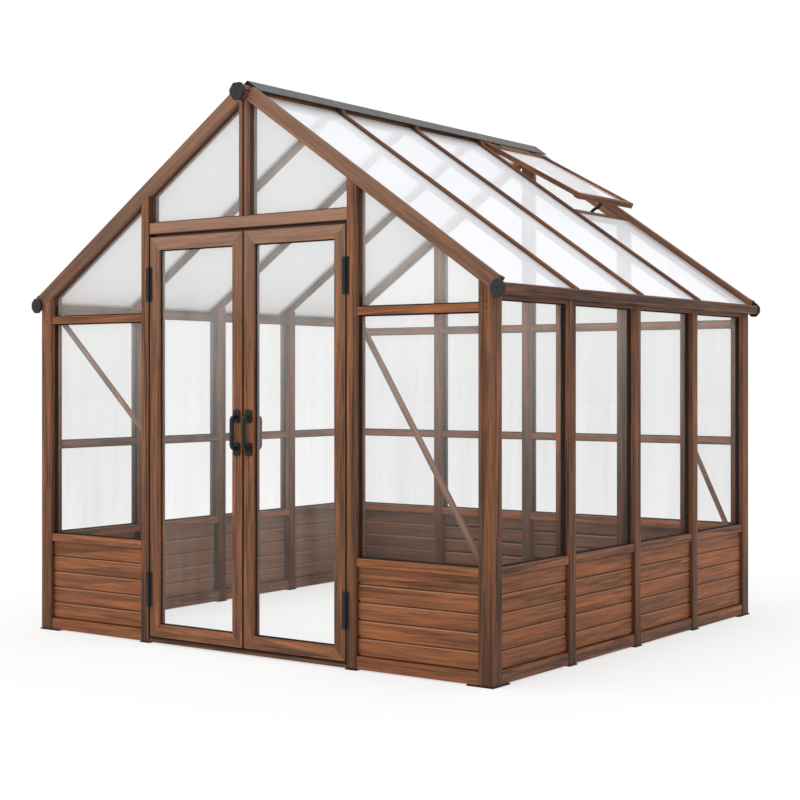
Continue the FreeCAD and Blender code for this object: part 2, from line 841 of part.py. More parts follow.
def beam_end_caps():
    """Moulded caps that close both ends of the ridge and eave beams."""
    pieces = []
    ends = [("eave_cap", eave_outline(-1, "sizes.cap_lip"), "sizes.eave_overhang"),
            ("eave_cap", eave_outline(1, "sizes.cap_lip"), "sizes.eave_overhang"),
            ("ridge_cap", ridge_outline("sizes.cap_lip"), "sizes.ridge_overhang")]
    for name, outline, overhang in ends:
        reach = f"layout.half_depth + {overhang}"
        for y in (f"-({reach})", f"{reach} + sizes.cap_thickness"):
            body = prism(name, "XZ_Plane", outline, "sizes.cap_thickness")
            pieces.append(put(body, "0", y, "0"))
    return node("beam_end_caps", pieces)


def gable_rafter(side, start, lip_start):
    """Rafter that carries the edge of a roof sheet behind an upstanding outer lip."""
    span = ("0", "layout.slope_length")
    bed = slope_box("rafter_bed", side, span, "0", "sizes.roof_sheet_level", start, "sizes.wall_depth")
    lip = slope_box("rafter_lip", side, span, "0", "sizes.rafter_depth", lip_start, "sizes.rafter_lip")
    return fuse("gable_rafter", [bed, lip])


def gable_rafters():
    front = "-layout.half_depth"
    back = "layout.half_depth - sizes.wall_depth"
    back_lip = "layout.half_depth - sizes.rafter_lip"
    pieces = []
    for side in (-1, 1):
        pieces += [gable_rafter(side, front, front), gable_rafter(side, back, back_lip)]
    return node("gable_rafters", pieces)


def bar_sketch(body):
    """Glazing bar section: upright sides under a round crown."""
    sketch = new_sketch(body, "YZ_Plane", "bar_outline")
    half = value_of("sizes.bar_width / 2")
    shoulder = value_of("sizes.rafter_depth - sizes.bar_crown")
    crown = value_of("sizes.rafter_depth")
    corners = [(-half, shoulder), (-half, 0), (half, 0), (half, shoulder)]
    points = [FreeCAD.Vector(y, z, 0) for y, z in corners]
    for start, end in zip(points, points[1:]):
        sketch.addGeometry(Part.LineSegment(start, end), False)
    sketch.addGeometry(Part.Arc(points[3], FreeCAD.Vector(0, crown, 0), points[0]), False)
    for line in (0, 1):
        sketch.addConstraint(Sketcher.Constraint("Coincident", line, 2, line + 1, 1))
    sketch.addConstraint(Sketcher.Constraint("Coincident", 2, 2, 3, 1))
    sketch.addConstraint(Sketcher.Constraint("Coincident", 3, 2, 0, 1))
    pin_point(sketch, 0, 1, "-sizes.bar_width / 2", "sizes.rafter_depth - sizes.bar_crown")
    pin_point(sketch, 1, 1, "-sizes.bar_width / 2", "0")
    pin_point(sketch, 2, 1, "sizes.bar_width / 2", "0")
    pin_point(sketch, 2, 2, "sizes.bar_width / 2", "sizes.rafter_depth - sizes.bar_crown")
    radius = "(sizes.bar_width ^ 2 / 4 + sizes.bar_crown ^ 2) / (2 * sizes.bar_crown)"
    index = sketch.addConstraint(Sketcher.Constraint("Radius", 3, value_of(radius)))
    sketch.setExpression(f"Constraints[{index}]", radius)
    return sketch


def glazing_bars(label, side):
    """Row of round-crowned bars on one slope, over the side-wall posts."""
    body = doc.addObject("PartDesign::Body", label)
    body.Label = label
    first = pad(body, bar_sketch(body), "layout.slope_length")
    repeat(body, first, "Y_Axis", "sizes.bay_pitch", "sizes.side_bays - 1")
    end = "layout.slope_length" if side > 0 else "0"
    x, z = slope_place(side, end, "0")
    return put(body, x, bay_line(1), z, Y_AXIS * side, "sizes.roof_pitch")


def roof_panes(label, side):
    """Sheets between the bars; the last one on the right slope stops below the vent."""
    pieces = []
    for index, (start, width) in enumerate(ROOF_OPENINGS):
        vented = side > 0 and index == side_bays - 1
        top = "layout.sill_lower_s" if vented else "layout.slope_length"
        pieces.append(slope_box("roof_pane", side, ("0", top), "sizes.roof_sheet_level", "sizes.roof_sheet",
                                start, width))
    return node(label, pieces)


def ridge_capping():
    """Folded sheet over the ridge, in one length for each bay."""
    wing_x = "sizes.capping_wing * cos(sizes.roof_pitch)"
    wing_z = "layout.capping_apex - sizes.capping_wing * sin(sizes.roof_pitch)"
    skin_x = "sizes.capping_sheet * sin(sizes.roof_pitch)"
    skin_z = "sizes.capping_sheet * cos(sizes.roof_pitch)"
    top = "layout.capping_apex + sizes.capping_sheet / cos(sizes.roof_pitch)"
    outline = [
        ("0", "layout.capping_apex"),
        (wing_x, wing_z),
        (f"{wing_x} + {skin_x}", f"{wing_z} + {skin_z}"),
        ("0", top),
        (f"-({wing_x} + {skin_x})", f"{wing_z} + {skin_z}"),
        (f"-{wing_x}", wing_z),
    ]
    body = prism("ridge_capping", "XZ_Plane", outline, "layout.capping_pitch - sizes.capping_joint")
    body.Label = "ridge_capping"
    repeat(body, body.Tip, "Y_Axis", "layout.capping_pitch", "sizes.side_bays")
    start = "-layout.half_depth + layout.capping_pitch - sizes.capping_joint / 2"
    return put(body, "0", start, "0")


# Feet and screws

def post_foot(x, y, width, depth):
    lip = "sizes.foot_lip"
    return box("foot", (f"{width} + 2 * {lip}", f"{depth} + 2 * {lip}", "sizes.foot_thickness"),
               (f"{x} - {width} / 2 - {lip}", f"{y} - {depth} / 2 - {lip}", "0"))


def corner_foot(x_side, y_side):
    """Corner plate with an inner tab that carries the hole for a ground anchor."""
    span = "(sizes.wall_depth + sizes.foot_lip + sizes.anchor_tab)"
    middle = f"sizes.foot_lip - {span} / 2"
    inset = "sizes.wall_depth + sizes.anchor_tab / 2"
    plate = box("corner_plate", (span, span, "sizes.foot_thickness"),
                (f"{x_side} * (layout.half_width + {middle}) - {span} / 2",
                 f"{y_side} * (layout.half_depth + {middle}) - {span} / 2", "0"))
    bore = cylinder("anchor_bore", "sizes.anchor_hole / 2", "sizes.foot_thickness",
                    (f"{x_side} * (layout.half_width - ({inset}))",
                     f"{y_side} * (layout.half_depth - ({inset}))", "0"))
    return cut("corner_foot", plate, bore)


def foot_plates():
    pieces = [corner_foot(x_side, y_side) for x_side in (-1, 1) for y_side in (-1, 1)]
    front = "(-layout.half_depth + sizes.wall_depth / 2)"
    back = "(layout.half_depth - sizes.wall_depth / 2)"
    for side in (-1, 1):
        offset = f"{side} * sizes.door_post_offset"
        pieces.append(post_foot(offset, front, "sizes.door_post_width", "sizes.wall_depth"))
        pieces.append(post_foot(offset, back, "sizes.post_width", "sizes.wall_depth"))
        for index in range(1, side_bays):
            pieces.append(post_foot(f"{side} * ({CORNER_LINE})", bay_line(index), "sizes.wall_depth",
                                    "sizes.post_width"))
    pieces.append(post_foot("0", back, "sizes.post_width", "sizes.wall_depth"))
    return node("foot_plates", pieces)


def frame_screws():
    """Screw heads on the corner posts: three on each gable face and one low on each side face."""
    pieces = []
    low = "sizes.screw_foot_level"
    high = "layout.wall_top - sizes.screw_top_drop"
    for x_side in (-1, 1):
        line = f"{x_side} * ({CORNER_LINE})"
        for y_side in (-1, 1):
            face = f"{y_side} * layout.half_depth"
            for z in (low, high, f"{high} - sizes.screw_pitch"):
                pieces.append(hexagon_head("gable_screw", "sizes.screw_radius", "sizes.screw_head",
                                           (line, face, z), X_AXIS * -y_side, str(QUARTER_TURN)))
            pieces.append(hexagon_head("side_screw", "sizes.screw_radius", "sizes.screw_head",
                                       (f"{x_side} * layout.half_width",
                                        f"{y_side} * (layout.half_depth - sizes.wall_depth / 2)", low),
                                       Y_AXIS * x_side, str(QUARTER_TURN)))
    return node("frame_screws", pieces)


# Hinges

def door_hinge_leaf(name, side, x, z, fixed):
    """Half of a butt hinge whose pin stands on Z: two outer knuckles and the pin, or the middle knuckle."""
    direction = -side if not fixed else side
    third = "sizes.hinge_height / 3"
    clear = "sizes.hinge_barrel + sizes.hinge_barrel_gap"
    plate_low = clear if direction > 0 else f"-({clear}) - sizes.hinge_leaf"
    tab_low = "0" if direction > 0 else f"-({clear})"
    level = "sizes.hinge_offset - sizes.hinge_plate"
    pieces = [box(name + "_plate", ("sizes.hinge_leaf", "sizes.hinge_plate", "sizes.hinge_height"),
                  (plate_low, level, "0"))]
    runs = [("0", third), (f"2 * {third}", third)] if fixed else [
        (f"{third} + sizes.hinge_play", f"{third} - 2 * sizes.hinge_play")]
    for bottom, run in runs:
        pieces.append(box(name + "_tab", (clear, "sizes.hinge_plate", run), (tab_low, level, bottom)))
        pieces.append(cylinder(name + "_knuckle", "sizes.hinge_barrel", run, ("0", "0", bottom)))
    if fixed:
        pieces.append(cylinder(name + "_pin", "sizes.hinge_pin", "sizes.hinge_height", ("0", "0", "0")))
        leaf = fuse(name, pieces)
    else:
        bore = cylinder(name + "_bore", "sizes.hinge_pin + sizes.pin_clearance", "sizes.hinge_height",
                        ("0", "0", "0"))
        leaf = cut(name, fuse(name + "_blank", pieces), bore)
    return put(leaf, x, "-layout.half_depth - sizes.hinge_offset", z)


HINGE_LEVELS = ("layout.door_bottom + sizes.hinge_inset",
                "layout.door_top - sizes.hinge_inset - sizes.hinge_height")


def door_axis_x(side):
    return f"{side} * (layout.door_reveal - sizes.door_hinge_gap / 2)"


def door_hinge_leaves(label, sides, fixed):
    pieces = [door_hinge_leaf("hinge_leaf", side, door_axis_x(side), z, fixed)
              for side in sides for z in HINGE_LEVELS]
    return node(label, pieces)


def vent_hinge_leaf(name, y, fixed):
    """Half of a small butt hinge whose pin lies on Y, flat on the vent head or on the vent."""
    third = "sizes.vent_hinge_height / 3"
    level = "-sizes.vent_hinge_offset"
    clear = "sizes.vent_hinge_barrel + sizes.hinge_barrel_gap"
    plate_low = f"-({clear}) - sizes.vent_hinge_leaf" if fixed else clear
    tab_low = f"-({clear})" if fixed else "0"
    pieces = [box(name + "_plate", ("sizes.vent_hinge_leaf", "sizes.vent_hinge_height",
                                    "sizes.vent_hinge_plate"), (plate_low, "0", level))]
    runs = [("0", third), (f"2 * {third}", third)] if fixed else [
        (f"{third} + sizes.hinge_play", f"{third} - 2 * sizes.hinge_play")]
    for start, run in runs:
        pieces.append(box(name + "_tab", (clear, run, "sizes.vent_hinge_plate"), (tab_low, start, level)))
        pieces.append(cylinder(name + "_knuckle", "sizes.vent_hinge_barrel", run, ("0", start, "0"),
                               -X_AXIS, str(QUARTER_TURN)))
    if fixed:
        pieces.append(cylinder(name + "_pin", "sizes.vent_hinge_pin", "sizes.vent_hinge_height",
                               ("0", "0", "0"), -X_AXIS, str(QUARTER_TURN)))
        leaf = fuse(name, pieces)
    else:
        bore = cylinder(name + "_bore", "sizes.vent_hinge_pin + sizes.pin_clearance",
                        "sizes.vent_hinge_height", ("0", "0", "0"), -X_AXIS, str(QUARTER_TURN))
        leaf = cut(name, fuse(name + "_blank", pieces), bore)
    tilt = "sizes.roof_pitch" if fixed else "layout.vent_tilt"
    return put(leaf, "layout.vent_axis_x", y, "layout.vent_axis_z", Y_AXIS, tilt)


VENT_HINGE_STARTS = ("layout.vent_start + sizes.vent_hinge_inset",
                     "layout.vent_end - sizes.vent_hinge_inset - sizes.vent_hinge_height")


def vent_hinge_leaves(label, fixed):
    return node(label, [vent_hinge_leaf("vent_leaf", y, fixed) for y in VENT_HINGE_STARTS])


# Doors

def door_left_edge(side):
    if side < 0:
        return "-layout.door_reveal + sizes.door_hinge_gap"
    return "sizes.door_meeting_gap / 2"


def door_stiles(label, side):
    """Pair of upright members, mitred at both ends."""
    left = door_left_edge(side)
    member = "sizes.door_member"
    back = "-layout.half_depth + sizes.door_depth"
    tall = ("layout.door_bottom", "layout.door_top")
    short = (f"layout.door_bottom + {member}", f"layout.door_top - {member}")
    right = f"{left} + layout.door_width - {member}"
    pieces = [across_taper("door_stile", left, member, back, "sizes.door_depth", tall + short),
              across_taper("door_stile", right, member, back, "sizes.door_depth", short + tall)]
    return node(label, pieces)


def door_rails(label, side):
    """Top and bottom members, mitred into the stiles."""
    left = door_left_edge(side)
    member = "sizes.door_member"
    back = "-layout.half_depth + sizes.door_depth"
    wide = (left, f"{left} + layout.door_width")
    narrow = (f"{left} + {member}", f"{left} + layout.door_width - {member}")
    upper = f"layout.door_top - {member}"
    pieces = [upward_taper("door_rail", "layout.door_bottom", member, back, "sizes.door_depth",
                           wide + narrow),
              upward_taper("door_rail", upper, member, back, "sizes.door_depth", narrow + wide)]
    return node(label, pieces)


def door_glazing(side):
    """Opening that the door's pane fills, and its row of heights."""
    start = f"{door_left_edge(side)} + sizes.door_member"
    run = "layout.door_width - 2 * sizes.door_member"
    bottom = "layout.door_bottom + sizes.door_member"
    return (start, run), bottom, "sizes.door_height - 2 * sizes.door_member"


def door_pane(label, side):
    opening, bottom, height = door_glazing(side)
    piece = FRONT.block("door_glass", opening, "sizes.door_glass_setback", "sizes.glass_thickness",
                        bottom, height)
    return node(label, [piece])


def door_seal(label, side):
    opening, bottom, height = door_glazing(side)
    setback = "sizes.door_glass_setback - sizes.door_seal_depth"
    outer = FRONT.block("door_seal_blank", opening, setback, "sizes.door_seal_depth", bottom, height)
    inner = FRONT.block("door_seal_hole", opening, setback, "sizes.door_seal_depth",
                        f"{bottom} + sizes.seal_width", f"{height} - 2 * sizes.seal_width",
                        "sizes.seal_width")
    return node(label, [cut("door_seal", outer, inner)])


def add_bend(sketch, first, second, centre, turn, radius):
    """Quarter bend from the end of one line to the start of another, begun at `turn` quarters."""
    begin = turn * math.pi / 2
    circle = Part.Circle(centre, Z_AXIS, value_of(radius))
    arc = sketch.addGeometry(Part.ArcOfCircle(circle, begin, begin + math.pi / 2), False)
    corner = sketch.Geometry[first].EndPoint
    forward = sketch.Geometry[arc].StartPoint.distanceToPoint(corner) < value_of(radius) / 2
    near, far = (1, 2) if forward else (2, 1)
    sketch.addConstraint(Sketcher.Constraint("Coincident", first, 2, arc, near))
    sketch.addConstraint(Sketcher.Constraint("Coincident", second, 1, arc, far))
    index = sketch.addConstraint(Sketcher.Constraint("Radius", arc, value_of(radius)))
    sketch.setExpression(f"Constraints[{index}]", radius)


def grip_sketch(body, outward):
    """Bent outline of a pull: a leg, a bend, the upright grip, a bend and the other leg."""
    sketch = new_sketch(body, "YZ_Plane", "grip_outline")
    reach = "sizes.handle_reach - sizes.handle_foot_thickness"
    inside = f"{reach} - sizes.handle_grip_depth"
    half = "sizes.handle_grip_length / 2"
    clear = "sizes.handle_grip_length / 2 - sizes.handle_leg_height"
    wide = "sizes.handle_outer_bend"
    tight = "sizes.handle_inner_bend"
    lines = [
        (("0", f"-({half})"), (f"{reach} - {wide}", f"-({half})")),
        ((reach, f"-({half}) + {wide}"), (reach, f"{half} - {wide}")),
        ((f"{reach} - {wide}", half), ("0", half)),
        (("0", half), ("0", clear)),
        (("0", clear), (f"{inside} - {tight}", clear)),
        ((inside, f"{clear} - {tight}"), (inside, f"-({clear}) + {tight}")),
        ((f"{inside} - {tight}", f"-({clear})"), ("0", f"-({clear})")),
        (("0", f"-({clear})"), ("0", f"-({half})")),
    ]
    upper, lower = (0, 3) if outward > 0 else (1, 2)
    bends = [
        (0, 1, (f"{reach} - {wide}", f"-({half}) + {wide}"), lower, wide),
        (1, 2, (f"{reach} - {wide}", f"{half} - {wide}"), upper, wide),
        (4, 5, (f"{inside} - {tight}", f"{clear} - {tight}"), upper, tight),
        (5, 6, (f"{inside} - {tight}", f"-({clear}) + {tight}"), lower, tight),
    ]

    def place(pair):
        return FreeCAD.Vector(outward * value_of(pair[0]), value_of(pair[1]), 0)

    for start, end in lines:
        sketch.addGeometry(Part.LineSegment(place(start), place(end)), False)
    for line, ends in enumerate(lines):
        for end, (y, z) in enumerate(ends, start=1):
            pin_point(sketch, line, end, f"{outward} * ({y})", z)
    for first, second, centre, turn, radius in bends:
        add_bend(sketch, first, second, place(centre), turn, radius)
    return sketch


def door_handle(side, face, outward):
    """Pull handle: a bent grip on two feet that are screwed to the stile."""
    centre = f"{side} * (sizes.door_meeting_gap / 2 + sizes.door_member / 2)"
    foot = "sizes.handle_foot_thickness"
    seat = f"{face} + ({outward}) * {foot}"
    foot_y = f"{face} - {foot}" if outward < 0 else face
    foot_offset = "sizes.handle_grip_length / 2 + sizes.handle_foot_lap - sizes.handle_foot_height / 2"
    pieces = []
    for end in (-1, 1):
        foot_z = f"sizes.handle_level + {end} * ({foot_offset}) - sizes.handle_foot_height / 2"
        pieces.append(box("handle_foot", ("sizes.handle_foot_width", foot, "sizes.handle_foot_height"),
                          (f"{centre} - sizes.handle_foot_width / 2", foot_y, foot_z)))
    body = doc.addObject("PartDesign::Body", "grip")
    pad(body, grip_sketch(body, outward), "sizes.handle_grip_width")
    put(body, f"{centre} - sizes.handle_grip_width / 2", seat, "sizes.handle_level")
    return pieces + [body]


def door_handles(label, side):
    outside = door_handle(side, "-layout.half_depth", -1)
    inside = door_handle(side, "-layout.half_depth + sizes.door_depth", 1)
    return node(label, outside + inside)


# Roof vent and its stay

VENT_BAY = ("layout.last_bar + sizes.bar_width / 2",
            "sizes.bay_pitch - sizes.bar_width / 2 - sizes.wall_depth / 2")
VENT_HEAD_BAY = ("layout.last_bar + sizes.bar_width / 2",
                 "sizes.bay_pitch - sizes.bar_width / 2 + sizes.wall_depth / 2 - sizes.rafter_lip")
VENT_WIDTH = "layout.vent_end - layout.vent_start"


def vent_head():
    """Fixed rail under the ridge that carries the vent's hinges."""
    piece = slope_box("vent_head", 1, ("layout.slope_length - sizes.vent_head_width", "layout.slope_length"),
                      "sizes.vent_level - sizes.vent_head_depth", "sizes.vent_head_depth", *VENT_HEAD_BAY)
    return node("vent_head_rail", [piece])


def vent_sill():
    """Cross rail that the closed vent lies over."""
    piece = slope_box("vent_sill", 1, ("layout.sill_lower_s", "layout.sill_upper_s"), "0",
                      "sizes.vent_sill_depth", *VENT_BAY)
    return node("vent_sill_rail", [piece])


def stay_peg():
    """Peg on the sill that a slot of the stay drops over."""
    x, z = slope_place(1, "layout.sill_upper_s", "layout.peg_n")
    piece = cylinder("peg", "sizes.peg_radius", "sizes.peg_length", (x, "layout.vent_middle", z), -Y_AXIS,
                     f"{QUARTER_TURN} - sizes.roof_pitch")
    return node("stay_peg", [piece])


def vent_stiles():
    pieces = []
    for start in ("layout.vent_start", "layout.vent_end - sizes.vent_member"):
        pieces.append(vent_box("vent_stile", "sizes.vent_hinge_gap / 2", "sizes.vent_length",
                               "layout.vent_under", "sizes.vent_depth", start, "sizes.vent_member"))
    return node("vent_stiles", pieces)


VENT_INNER = ("layout.vent_start + sizes.vent_member", f"{VENT_WIDTH} - 2 * sizes.vent_member")


def vent_rails():
    pieces = []
    for along in ("sizes.vent_hinge_gap / 2", "layout.vent_rail_inner"):
        pieces.append(vent_box("vent_rail", along, "sizes.vent_member", "layout.vent_under",
                               "sizes.vent_depth", *VENT_INNER))
    return node("vent_rails", pieces)


def vent_pane():
    along = "sizes.vent_hinge_gap / 2 + sizes.vent_member"
    length = "sizes.vent_length - 2 * sizes.vent_member"
    level = "layout.vent_under + (sizes.vent_depth - sizes.roof_sheet) / 2"
    return node("vent_pane", [vent_box("vent_sheet", along, length, level, "sizes.roof_sheet", *VENT_INNER)])


def stay_bracket():
    """Two ears and a pin on the inner face of the vent's bottom rail."""
    half = "(sizes.stay_width / 2 + sizes.stay_ear_gap)"
    along = "layout.stay_along - sizes.stay_eye"
    length = "sizes.stay_eye + sizes.stay_pivot_reach"
    level = "layout.stay_below - sizes.stay_eye"
    height = "2 * sizes.stay_eye"
    pieces = []
    for start in (f"layout.vent_middle - {half} - sizes.stay_ear", f"layout.vent_middle + {half}"):
        pieces.append(vent_box("stay_ear", along, length, level, height, start, "sizes.stay_ear"))
    pieces.append(cylinder("stay_pin", "sizes.stay_pin", f"2 * ({half} + sizes.stay_ear)",
                           ("layout.stay_x", f"layout.vent_middle - {half} - sizes.stay_ear",
                            "layout.stay_z"),
                           -X_AXIS, str(QUARTER_TURN)))
    return node("stay_bracket", [fuse("stay_bracket_ears", pieces)])


def stay_arm():
    """Slotted strip with a rolled eye; its lowest slot hangs over the peg."""
    half = "sizes.stay_width / 2"
    thick = "sizes.stay_thickness"
    strip = box("stay_strip", (thick, "sizes.stay_width", "layout.stay_length"),
                (f"-{thick} / 2", f"-{half}", "-layout.stay_length"))
    eye = cylinder("stay_roll", "sizes.stay_eye", "sizes.stay_width", ("0", f"-{half}", "0"), -X_AXIS,
                   str(QUARTER_TURN))
    cuts = [cylinder("stay_bore", "sizes.stay_pin + sizes.pin_clearance", "sizes.stay_width",
                     ("0", f"-{half}", "0"), -X_AXIS, str(QUARTER_TURN))]
    for index in range(int(sizes.get("stay_slot_count"))):
        bottom = f"-layout.stay_slot_end + {index} * sizes.stay_slot_pitch"
        cuts.append(box("stay_slot", (thick, "sizes.stay_slot_width", "sizes.stay_slot_length"),
                        (f"-{thick} / 2", "-sizes.stay_slot_width / 2", bottom)))
    arm = cut("stay_arm", fuse("stay_blank", [strip, eye]), fuse("stay_cuts", cuts))
    arm.Label = "stay_arm"
    return put(arm, "layout.stay_x", "layout.vent_middle", "layout.stay_z", Y_AXIS, "sizes.roof_pitch")


def build():
    """All sub-parts in the order in which the greenhouse goes together."""
    parts = [
        foot_plates(),
        corner_posts(),
        door_posts(),
        side_posts("right_wall_posts", 1),
        side_posts("left_wall_posts", -1),
        back_wall_posts(),
        door_threshold(),
        door_header(),
        door_stop(),
        front_king_post(),
        wall_rails(FRONT, [BASE_ROW, SILL_ROW, TIE_ROW]),
        wall_rails(RIGHT, [BASE_ROW, SILL_ROW, TOP_ROW]),
        wall_rails(LEFT, [BASE_ROW, SILL_ROW, MID_ROW, TOP_ROW]),
        wall_rails(BACK, [BASE_ROW, SILL_ROW, MID_ROW, TIE_ROW]),
    ]
    parts += [wall_cladding(wall) for wall in (FRONT, RIGHT, LEFT, BACK)]
    parts += [
        wall_braces(),
        eave_beams(),
        ridge_beam(),
        beam_end_caps(),
        gable_rafters(),
        glazing_bars("right_glazing_bars", 1),
        glazing_bars("left_glazing_bars", -1),
        ridge_capping(),
        front_panes(),
        node("right_wall_panes", wall_panes(RIGHT)),
        node("left_wall_panes", wall_panes(LEFT)),
        back_panes(),
        roof_panes("right_roof_panes", 1),
        roof_panes("left_roof_panes", -1),
        wall_seals(),
        frame_screws(),
        door_hinge_leaves("post_hinge_leaves", (-1, 1), True),
        vent_head(),
        vent_sill(),
        stay_peg(),
        vent_hinge_leaves("vent_head_hinge_leaves", True),
    ]
    for name, side in (("left_door", -1), ("right_door", 1)):
        parts += [
            door_stiles(f"{name}_stiles", side),
            door_rails(f"{name}_rails", side),
            door_pane(f"{name}_pane", side),
            door_seal(f"{name}_seal", side),
            door_handles(f"{name}_handles", side),
            door_hinge_leaves(f"{name}_hinge_leaves", (side,), False),
        ]
    parts += [
        vent_stiles(),
        vent_rails(),
        vent_pane(),
        vent_hinge_leaves("vent_hinge_leaves", False),
        stay_bracket(),
        stay_arm(),
    ]
    return parts


def check(parts):
    """Stop before anything is written if an object failed or a shape is not sound."""
    failed = [item.Label for item in doc.Objects if {"Invalid", "Error"} & set(item.State)]
    if failed:
        raise RuntimeError(f"failed objects: {failed}")
    for part in parts:
        if part.Shape.isNull() or not part.Shape.isValid():
            raise RuntimeError(f"unsound shape: {part.Label}")


def main():
    parts = build()
    doc.recompute()
    check(parts)
    os.makedirs("parts", exist_ok=True)
    for part in parts:
        part.Shape.exportStep(f"parts/{part.Label}.step")
        print(part.Label, len(part.Shape.Solids), "solids")


main()
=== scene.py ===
"""Looks of the timber greenhouse: materials, hardware, stage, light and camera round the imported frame."""
import math

import bmesh
import bpy
from mathutils import Matrix, Vector


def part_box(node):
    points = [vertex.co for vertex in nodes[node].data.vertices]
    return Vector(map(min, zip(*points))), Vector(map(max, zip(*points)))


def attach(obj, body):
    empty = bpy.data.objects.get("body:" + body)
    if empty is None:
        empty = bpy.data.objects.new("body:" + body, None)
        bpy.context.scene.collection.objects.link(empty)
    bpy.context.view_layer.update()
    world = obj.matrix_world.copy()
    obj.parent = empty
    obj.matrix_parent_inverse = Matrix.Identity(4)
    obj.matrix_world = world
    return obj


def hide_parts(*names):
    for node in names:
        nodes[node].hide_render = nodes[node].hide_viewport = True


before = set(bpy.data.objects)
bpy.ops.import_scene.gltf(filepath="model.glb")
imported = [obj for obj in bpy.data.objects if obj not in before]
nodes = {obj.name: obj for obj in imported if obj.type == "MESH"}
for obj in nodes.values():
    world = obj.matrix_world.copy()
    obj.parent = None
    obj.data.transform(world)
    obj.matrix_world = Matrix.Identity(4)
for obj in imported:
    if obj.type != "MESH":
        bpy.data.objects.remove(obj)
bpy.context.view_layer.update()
scene = bpy.context.scene

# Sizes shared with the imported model, in metres
HALF_WIDTH = 1.327
HALF_DEPTH = 1.255
WALL_TOP = 1.594
ROOF_PITCH = math.radians(34.5)
VENT_TILT = math.radians(28.5)
BOARD_BASE = 0.060
BOARD_PITCH = 0.0764
FRONT_BOARD_START = 0.637
FRONT_BOARD_END = 1.257
SIDE_BAY = 0.610
SIDE_POST_HALF = 0.028
CAPPING_JOINTS = (-0.6175, 0.0200, 0.6575)
CAPPING_WING = 0.090
HINGE_AXIS_X = 0.583
HINGE_FACE_Y = -1.258
HINGE_BOTTOMS = (0.173, 1.605)
HANDLE_X = 0.035
DOOR_DEPTH = 0.040
HANDLE_LEVEL = 1.000

# Side and body of each door
DOORS = ((-1, "left_door"), (1, "right_door"))


# Colours and node graphs

WHITE = (1.0, 1.0, 1.0, 1.0)


def linear(red, green, blue):
    """Linear colour of an sRGB triple from 0 to 255."""
    def channel(value):
        share = value / 255
        return share / 12.92 if share <= 0.04045 else ((share + 0.055) / 1.055) ** 2.4
    return (channel(red), channel(green), channel(blue), 1.0)


class Graph:
    """Node material with short calls for the nodes that this scene uses."""

    def __init__(self, name):
        self.material = bpy.data.materials.new(name)
        self.material.use_nodes = True
        self.tree = self.material.node_tree
        self.shader = self.tree.nodes["Principled BSDF"]

    def node(self, kind, **settings):
        made = self.tree.nodes.new(kind)
        for name, value in settings.items():
            setattr(made, name, value)
        return made

    def feed(self, socket, value):
        if isinstance(value, bpy.types.NodeSocket):
            self.tree.links.new(value, socket)
        else:
            socket.default_value = value

    def math(self, operation, first, second=0.0):
        made = self.node("ShaderNodeMath", operation=operation)
        self.feed(made.inputs[0], first)
        self.feed(made.inputs[1], second)
        return made.outputs[0]

    def vector(self, operation, first, second=(0.0, 0.0, 0.0)):
        made = self.node("ShaderNodeVectorMath", operation=operation)
        self.feed(made.inputs[0], first)
        self.feed(made.inputs[1], second)
        return made.outputs["Value" if operation == "DOT_PRODUCT" else "Vector"]

    def place(self):
        return self.node("ShaderNodeTexCoord").outputs["Object"]

    def axis(self, place, letter):
        made = self.node("ShaderNodeSeparateXYZ")
        self.feed(made.inputs[0], place)
        return made.outputs[letter]

    def height(self, place):
        return self.axis(place, "Z")

    def island(self):
        """Random number of each separate piece in a node."""
        return self.node("ShaderNodeNewGeometry").outputs["Random Per Island"]

    def noise(self, place, stretch, detail=4.0, roughness=0.55, distortion=0.0):
        made = self.node("ShaderNodeTexNoise")
        self.feed(made.inputs["Vector"], self.vector("MULTIPLY", place, stretch))
        made.inputs["Scale"].default_value = 1.0
        made.inputs["Detail"].default_value = detail
        made.inputs["Roughness"].default_value = roughness
        made.inputs["Distortion"].default_value = distortion
        return made.outputs["Fac"]

    def span(self, value, low, high, start, end, smooth=False):
        made = self.node("ShaderNodeMapRange", clamp=True)
        if smooth:
            made.interpolation_type = "SMOOTHSTEP"
        self.feed(made.inputs["Value"], value)
        for name, number in (("From Min", low), ("From Max", high), ("To Min", start), ("To Max", end)):
            made.inputs[name].default_value = number
        return made.outputs["Result"]

    def ramp(self, value, stops):
        made = self.node("ShaderNodeValToRGB")
        elements = made.color_ramp.elements
        while len(elements) < len(stops):
            elements.new(0.5)
        for element, (position, colour) in zip(elements, stops):
            element.position = position
            element.color = colour
        self.feed(made.inputs["Fac"], value)
        return made.outputs["Color"]

    def mix(self, factor, first, second, blend="MIX"):
        made = self.node("ShaderNodeMix", data_type="RGBA", blend_type=blend)
        self.feed(made.inputs["Factor"], factor)
        self.feed(made.inputs[6], first)
        self.feed(made.inputs[7], second)
        return made.outputs[2]

    def bump(self, height, strength, distance):
        made = self.node("ShaderNodeBump")
        made.inputs["Strength"].default_value = strength
        made.inputs["Distance"].default_value = distance
        self.feed(made.inputs["Height"], height)
        self.feed(self.shader.inputs["Normal"], made.outputs["Normal"])

    def set(self, **values):
        for name, value in values.items():
            self.feed(self.shader.inputs[name.replace("_", " ")], value)
        return self.material


# Timber

